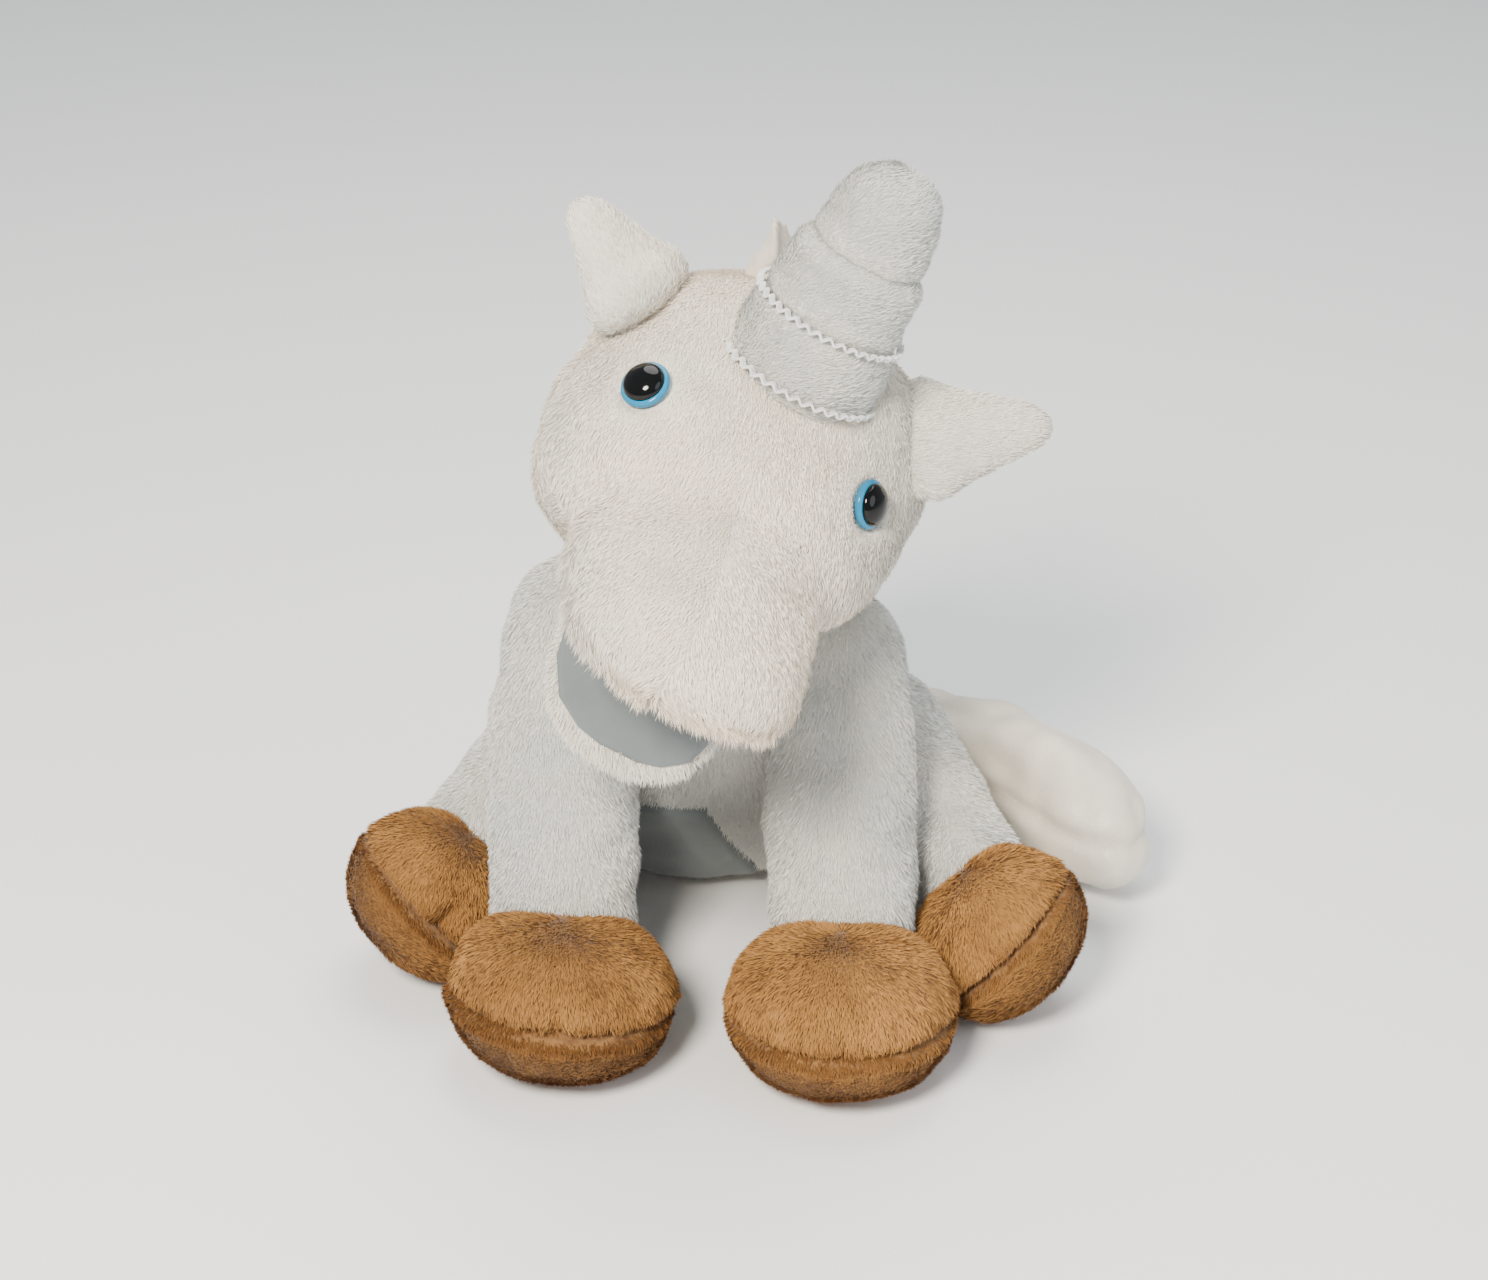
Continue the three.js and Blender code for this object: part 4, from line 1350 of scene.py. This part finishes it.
def braid_tree():
    """Geometry nodes that lay wavy braid along a closed seam round an axis."""
    tree, given, result = group_of(
        "Wavy braid",
        "GeometryNodeTree",
        [
            ("Seam", "NodeSocketGeometry", None),
            ("Axis", "NodeSocketVector", None),
            ("Points", "NodeSocketInt", 600),
            ("Waves", "NodeSocketInt", 24),
            ("Wave height", "NodeSocketFloat", 0.0015),
            ("Width", "NodeSocketFloat", 0.003),
            ("Thickness", "NodeSocketFloat", 0.0009),
            ("Material", "NodeSocketMaterial", None),
        ],
        [("Braid", "NodeSocketGeometry")],
    )
    line = wire(tree, "GeometryNodeMeshToCurve", {0: given["Seam"]}).outputs[0]
    line = wire(tree, "GeometryNodeResampleCurve", {0: line, "Count": given["Points"]}).outputs[0]
    share = wire(tree, "GeometryNodeSplineParameter").outputs["Factor"]
    turns = maths(tree, "MULTIPLY", maths(tree, "MULTIPLY", share, given["Waves"]), 2 * math.pi)
    lift = maths(tree, "MULTIPLY", maths(tree, "SINE", turns), given["Wave height"])
    offset = vectors(tree, "SCALE", given["Axis"], lift)
    line = wire(tree, "GeometryNodeSetPosition", {0: line, "Offset": offset}).outputs[0]
    way = wire(tree, "GeometryNodeInputTangent").outputs[0]
    flat = aligned(tree, field(tree, "out", "FLOAT_VECTOR"), "Y", aligned(tree, way, "Z"))
    spots = wire(tree, "GeometryNodeCurveToPoints", {0: line}, mode="EVALUATED").outputs[0]
    corners = {"Vertices X": 2, "Vertices Y": 2, "Vertices Z": 2}
    knot = wire(tree, "GeometryNodeMeshCube", {"Size": (1, 1, 1), **corners}).outputs[0]
    size = {0: given["Width"], 1: given["Thickness"], 2: 0.6 * MM}
    size = wire(tree, "ShaderNodeCombineXYZ", size).outputs[0]
    laid = wire(
        tree,
        "GeometryNodeInstanceOnPoints",
        {"Points": spots, "Instance": knot, "Rotation": flat, "Scale": size},
    )
    real = wire(tree, "GeometryNodeRealizeInstances", {0: laid.outputs[0]})
    dressed_up = wire(tree, "GeometryNodeSetMaterial", {0: real.outputs[0], "Material": given["Material"]})
    tree.links.new(dressed_up.outputs[0], result["Braid"])
    return tree


def seam_line(name, places, out):
    """A closed line of edges, with the way out of the cover at each point."""
    mesh = bpy.data.meshes.new(name)
    count = len(places)
    mesh.from_pydata([tuple(p) for p in places], [(i, (i + 1) % count) for i in range(count)], [])
    line = object_of(name, mesh)
    write(line, "out", out, "FLOAT_VECTOR")
    return line


class UNICORN_OT_braid(bpy.types.Operator):
    """Lays the wavy braid round the lower seam of the horn and round its foot"""

    bl_idname = "unicorn.braid"
    bl_label = "Wavy braid"

    def execute(self, context):
        cloth = context.scene.unicorn_cloth
        white = ground_material("braid_cloth", cloth.braid, [0.8 * c for c in cloth.braid])
        axis = turned((0, 0, 1), horn_frame())
        tree = braid_tree()
        turn = np.linspace(0, 2 * math.pi, 240, endpoint=False)
        out = np.stack([np.cos(turn), np.sin(turn), 0 * turn], 1)
        laps = []
        for title, rise, radius in (("seam", HORN_SEAMS[0], 31.0 * MM), ("foot", 8 * MM, 33.4 * MM)):
            places = out_of_frame(radius * out + np.array((0, 0, rise)), horn_frame())
            line = seam_line(f"braid_{title}", places, ways_out(out, horn_frame()))
            run_tree(
                line,
                tree,
                ["out"],
                Axis=tuple(axis),
                Points=720,
                Waves=38,
                Wave_height=0.9 * MM,
                Width=0.8 * MM,
                Thickness=cloth.braid_width,
                Material=white,
            )
            laps.append(line)
        seam, foot = laps
        noted(seam, "horn", "braid", "horn_braid")
        noted(foot, "horn", "braid")
        return {"FINISHED"}


def ear_frame(side):
    """An ear's own frame: +X runs to its tip, -Z is its lined side."""
    lift = math.radians({"left": 26, "right": 13}[side])
    lie = (
        Matrix.Translation(Vector((58, 44, -2)) * MM)
        @ Matrix.Rotation(math.radians(24), 4, "Z")
        @ Matrix.Rotation(-lift, 4, "Y")
    )
    flip = Matrix.Scale(SIDES[side], 4, (1, 0, 0))
    return HEAD @ flip @ lie


class UNICORN_OT_ears(bpy.types.Operator):
    """Makes the two cupped ears and their woven linings"""

    bl_idname = "unicorn.ears"
    bl_label = "Ears"

    def execute(self, context):
        for side, long in (("left", 60 * MM), ("right", 48 * MM)):
            own_frame = ear_frame(side)
            node = f"ear_{side}"
            ear = stuffed(f"{node}_cover", [node_points(node)], size=2.5 * MM, rounds=3, swell=0.6 * MM)
            own = in_frame(points_of(ear), own_frame)
            cup = np.clip(1 - (own[:, 1] / (17 * MM)) ** 2, 0, 1)
            cup *= np.clip(1 - ((own[:, 0] - 0.48 * long) / (0.5 * long)) ** 2, 0, 1)
            own[:, 2] += 7.5 * MM * cup * smooth_step(-own[:, 2], 0, 4 * MM)
            root = 1 - smooth_step(own[:, 0] / long, 0.0, 0.55)
            own[:, 1] *= 1 + 0.5 * root
            own[:, 2] *= 1 + 0.3 * root
            place(ear, out_of_frame(own, own_frame))

            def bald(points):
                own = in_frame(points, own_frame)
                half = np.interp(own[:, 0] / long, (0.1, 0.3, 0.5, 0.72, 0.86), (7, 12.5, 12, 8, 2)) * MM
                lined = (own[:, 2] < -1 * MM) & (np.abs(own[:, 1]) < half - MM)
                return np.where(lined & (own[:, 0] > 0.12 * long) & (own[:, 0] < 0.84 * long), 0.0, 1.0)

            to_tip = turned((1, 0, 0), own_frame)
            furred(subdivided(ear), [node], node, to_tip, keep=bald, pile=0.85, lit_share=0.55, Rise=0.6)
            rows, columns = 26, 16
            t = np.repeat(np.linspace(0.12, 0.84, rows), columns)
            s = np.tile(np.linspace(-1, 1, columns), rows)
            half = np.interp(t, (0.12, 0.3, 0.5, 0.72, 0.84), (8, 13, 12.5, 8.5, 3.5)) * MM
            chart = np.stack([t * long, s * half], 1)
            starts = out_of_frame(np.column_stack([chart, np.full_like(t, -30 * MM)]), own_frame)
            ways = np.tile(turned((0, 0, 1), own_frame), (len(t), 1))
            places, normals = over(ear, starts, ways, 1.0 * MM)
            lining = patch(f"ear_cloth_{side}", rows, columns, places, chart, 0.8 * MM)
            facing_out(lining, normals)
            area = float(np.trapz(2 * half.reshape(rows, columns)[:, 0], dx=0.72 * long / (rows - 1)))
            sewn_sheet(lining, node, f"ear_lining_{side}", (26 * MM, 0.72 * long), area)
        return {"FINISHED"}


# ---- eyes ---------------------------------------------------------------------------------
def turned_piece(name, matrix, profile, material, rounds=48):
    """A closed round piece from a profile of (radius, height) in mm, mapped by angle and radius."""
    rings = len(profile)
    profile = [(r * MM, h * MM) for r, h in profile]
    turn = np.linspace(0, 2 * math.pi, rounds, endpoint=False)
    points, chart = [], []
    widest = max(r for r, _ in profile)
    for r, h in profile:
        points += [(r * math.cos(a), r * math.sin(a), h) for a in turn]
        chart += [(a / (2 * math.pi), r / widest) for a in turn]
    loops = np.arange(rings * rounds).reshape(rings, rounds)
    faces = []
    for lower, upper in zip(loops, loops[1:]):
        faces += np.stack([lower, np.roll(lower, -1), np.roll(upper, -1), upper], 1).tolist()
    faces += [loops[0, ::-1].tolist(), loops[-1].tolist()]
    mesh = bpy.data.meshes.new(name)
    mesh.from_pydata(points, [], faces)
    mesh.transform(matrix)
    piece = object_of(name, mesh)
    flat_map(piece, np.array(chart))
    shape = bmesh.new()
    shape.from_mesh(mesh)
    bmesh.ops.recalc_face_normals(shape, faces=shape.faces)
    shape.to_mesh(mesh)
    shape.free()
    mesh.shade_smooth()
    return dressed(piece, material)


# Radius and height of the turned profiles, in millimetres: the post, the ring's rim and its top.
EYE_RING = [(2.3, -15.8), (2.4, -0.5), (9.4, -0.4), (9.95, 0.2), (10, 1.4)]
EYE_RING += [(9.6, 2.2), (8.7, 2.6), (7.9, 2.5), (0.5, 2.45)]
# The pupil's edge, its dome and the middle.
EYE_DOME = [(8.3, 2.6), (8.4, 2.9)]
EYE_DOME += [(8.4 * math.cos(a), 2.9 + 4.4 * math.sin(a)) for a in np.radians((12, 25, 38, 50, 62, 73, 83))]
EYE_DOME += [(0.25, 7.3)]


class UNICORN_OT_eyes(bpy.types.Operator):
    """Makes the plastic eyes, each a blue ring under a black dome, and dresses their washers"""

    bl_idname = "unicorn.eyes"
    bl_label = "Eyes"

    def execute(self, context):
        eyes = context.scene.unicorn_eyes
        blue = plastic_material("eye_blue", eyes.ring, [0.35 * c for c in eyes.ring], 90.0)
        black = plastic_material("eye_black", eyes.pupil, [0.4 * c for c in eyes.pupil], 3.0)
        washer = plastic_material("washer_plastic", (0.72, 0.72, 0.69), (0.6, 0.6, 0.58), 3.0)
        for side in SIDES:
            at = eye_frame(side)
            iris = turned_piece(f"iris_{side}", at, EYE_RING, blue)
            pupil = turned_piece(f"pupil_{side}", at, EYE_DOME, black)
            noted(iris, "head", "eye_blue", f"eye_iris_{side}")
            noted(pupil, "head", "eye_black", f"eye_pupil_{side}")
            dressed(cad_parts[f"eye_washer_{side}"], washer)
        return {"FINISHED"}


# ---- satin --------------------------------------------------------------------------------
def stitch_tree():
    """Geometry nodes that sew a running stitch along a seam."""
    tree, given, result = group_of(
        "Stitches",
        "GeometryNodeTree",
        [
            ("Seam", "NodeSocketGeometry", None),
            ("Pitch", "NodeSocketFloat", 0.0035),
            ("Stitch length", "NodeSocketFloat", 0.0022),
            ("Thread", "NodeSocketFloat", 0.0005),
            ("Material", "NodeSocketMaterial", None),
        ],
        [("Stitches", "NodeSocketGeometry")],
    )
    line = wire(tree, "GeometryNodeMeshToCurve", {0: given["Seam"]}).outputs[0]
    spots = wire(tree, "GeometryNodeCurveToPoints", {0: line, "Length": given["Pitch"]}, mode="LENGTH")
    bead = wire(tree, "GeometryNodeMeshIcoSphere", {"Radius": 0.5, "Subdivisions": 1})
    half = {0: given["Thread"], 1: given["Thread"], 2: given["Stitch length"]}
    half = wire(tree, "ShaderNodeCombineXYZ", half).outputs[0]
    flat = aligned(tree, spots.outputs["Tangent"], "Z")
    laid = wire(
        tree,
        "GeometryNodeInstanceOnPoints",
        {"Points": spots.outputs[0], "Instance": bead.outputs[0], "Rotation": flat, "Scale": half},
    )
    real = wire(tree, "GeometryNodeRealizeInstances", {0: laid.outputs[0]})
    sewn = wire(tree, "GeometryNodeSetMaterial", {0: real.outputs[0], "Material": given["Material"]})
    tree.links.new(sewn.outputs[0], result["Stitches"])
    return tree


# Height of the tail's seam, as a share of its own height.
TAIL_SEAM = 0.56


class UNICORN_OT_satin(bpy.types.Operator):
    """Makes the puffy satin tail with its sewn edge, and the satin mane"""

    bl_idname = "unicorn.satin"
    bl_label = "Tail and mane"

    def execute(self, context):
        tail = copied("tail", "tail_satin", 3.5 * MM, 8, 1.4 * MM)
        puffed(tail, cap=4 * MM)
        points, normals = points_of(tail), normals_of(tail)
        low, high = points.min(0), points.max(0)
        root = np.array((low[0], high[1] - 0.02, (low[2] + high[2]) / 2))
        reach = points - root
        fan = np.arctan2(reach[:, 1], reach[:, 0])
        far = np.linalg.norm(reach, axis=1)
        folds = np.sin(fan * 17 + 3 * waves(points, 0.07, 90)) * peak(far, 0.06, 0.06)
        rise = 0.0018 * folds + 0.0022 * waves(points, 0.045, 91) + 0.0009 * waves(points, 0.017, 92)
        # The seam draws the tail in all round.
        level = low[2] + TAIL_SEAM * (high[2] - low[2])
        rise -= 0.0032 * peak(points[:, 2], level, 0.0035)
        place(tail, points + rise[:, None] * normals)
        subdivided(tail)
        dressed(tail, satin_cloth())
        turn = np.linspace(0, 2 * math.pi, 200, endpoint=False)
        out = np.stack([np.cos(turn), np.sin(turn), 0 * turn], 1)
        starts = points.mean(0) * (1, 1, 0) + np.array((0, 0, level)) + 0.3 * out
        places, out = over(tail, starts, -out, 0.1 * MM)
        thread = ground_material("satin_thread", (0.74, 0.68, 0.57), (0.6, 0.54, 0.44))
        sewing = run_tree(seam_line("tail_stitches", places, out), stitch_tree(), ["out"], Material=thread)
        noted(tail, "tail", "satin", "tail_satin", fill=0.7)
        noted(sewing, "tail", "satin")

        for name, node, body in (("forelock", "mane_forelock", "head"), ("crest", "mane_crest", "neck")):
            lock = copied(name, node, 2.5 * MM, 4, 1.0 * MM)
            points = points_of(lock)
            low, high = points.min(0), points.max(0)
            middle = (low + high) / 2
            share = (points[:, 2] - low[2]) / (high[2] - low[2])
            if name == "forelock":
                narrow = 1 - 0.75 * share**2
                points[:, 0] = middle[0] + (points[:, 0] - middle[0]) * narrow - 7 * MM * share**2
                points[:, 1] = middle[1] + (points[:, 1] - middle[1]) * 0.8
            place(lock, points)
            wrinkled(lock, 1.8 * MM, 17 * MM, 95, along=(0, 0, 1))
            subdivided(lock)
            dressed(lock, satin_cloth())
            noted(lock, body, "satin", node, fill=0.55)
        return {"FINISHED"}


# ---- stage --------------------------------------------------------------------------------
FLOOR_HALF = 6
# The floor lies just under the pile of the soles.
FLOOR_DROP = 1.5 * MM
CAMERA_AT = (0.016, -1.1642, 0.7068)
LOOKS_DOWN = 27
LIT_POINT = Vector((0.016, -0.095, 0.16))
# Name, place, size across, watts and tint of each lamp.
LAMPS = (
    ("key", (-0.45, -1.3, 1.3), 0.5, 62, (1.0, 0.93, 0.82)),
    ("fill", (1.3, -1.0, 0.9), 1.2, 9, (0.93, 0.97, 1.0)),
    ("top", (0.1, 0.5, 1.6), 1.2, 20, (1.0, 0.98, 0.95)),
)


class UNICORN_OT_stage(bpy.types.Operator):
    """Sets the pale floor, the soft lights and the camera"""

    bl_idname = "unicorn.stage"
    bl_label = "Stage"

    def execute(self, context):
        scene = context.scene
        mesh = bpy.data.meshes.new("floor")
        corners = [(FLOOR_HALF * x, FLOOR_HALF * y, 0) for x, y in ((-1, -1), (1, -1), (1, 1), (-1, 1))]
        mesh.from_pydata(corners, [], [(0, 1, 2, 3)])
        mesh.transform(Matrix.Translation((0, 0, -FLOOR_DROP)))
        floor = object_of("floor", mesh)
        material, _, shader, _ = bare_material("floor")
        finish_of(shader, Base_Color=(0.9, 0.9, 0.9, 1), Roughness=0.9)
        dressed(floor, material)

        world = bpy.data.worlds.new("studio")
        world.use_nodes = True
        finish_of(world.node_tree.nodes["Background"], Color=(0.86, 0.94, 1.0, 1), Strength=0.6)
        scene.world = world
        for name, spot, size, power, tint in LAMPS:
            light = bpy.data.lights.new(name, "AREA")
            light.shape = "DISK"
            light.size = size
            light.energy = power
            light.color = tint
            lamp = bpy.data.objects.new(name, light)
            lamp.location = spot
            lamp.rotation_euler = (LIT_POINT - Vector(spot)).to_track_quat("-Z", "Y").to_euler()
            scene.collection.objects.link(lamp)

        camera = bpy.data.cameras.new("camera")
        camera.lens = 70
        camera.sensor_width = 36
        view = bpy.data.objects.new("camera", camera)
        view.location = CAMERA_AT
        view.rotation_euler = (math.radians(90 - LOOKS_DOWN), 0, 0)
        scene.collection.objects.link(view)
        scene.camera = view
        return {"FINISHED"}


# ---- panel and registration ---------------------------------------------------------------
OPERATORS = (
    UNICORN_OT_body,
    UNICORN_OT_belly,
    UNICORN_OT_legs,
    UNICORN_OT_hooves,
    UNICORN_OT_head,
    UNICORN_OT_mouth,
    UNICORN_OT_horn,
    UNICORN_OT_braid,
    UNICORN_OT_ears,
    UNICORN_OT_eyes,
    UNICORN_OT_satin,
    UNICORN_OT_fur,
    UNICORN_OT_stage,
)
SETTINGS = {
    "unicorn_pile": UnicornPileSettings,
    "unicorn_cloth": UnicornClothSettings,
    "unicorn_eyes": UnicornEyeSettings,
}


class UNICORN_PT_panel(bpy.types.Panel):
    """The unicorn's settings and the operators that make its pieces"""

    bl_idname = "UNICORN_PT_panel"
    bl_label = "Plush unicorn"
    bl_space_type = "VIEW_3D"
    bl_region_type = "UI"
    bl_category = "Unicorn"

    def draw(self, context):
        for group, kind in SETTINGS.items():
            box = self.layout.box()
            for name in kind.__annotations__:
                box.prop(getattr(context.scene, group), name)
        for operator in OPERATORS:
            self.layout.operator(operator.bl_idname)


def register():
    for kind in (*SETTINGS.values(), *OPERATORS, UNICORN_PT_panel):
        bpy.utils.register_class(kind)
    for name, kind in SETTINGS.items():
        setattr(bpy.types.Scene, name, PointerProperty(type=kind))


def unregister():
    for name in SETTINGS:
        delattr(bpy.types.Scene, name)
    for kind in reversed((*SETTINGS.values(), *OPERATORS, UNICORN_PT_panel)):
        bpy.utils.unregister_class(kind)


def main():
    register()
    for operator in OPERATORS:
        group, name = operator.bl_idname.split(".")
        getattr(getattr(bpy.ops, group), name)()
    helper = bpy.data.objects.get("tuft")
    if helper:
        bpy.data.objects.remove(helper)


if __name__ == "__main__":
    main()
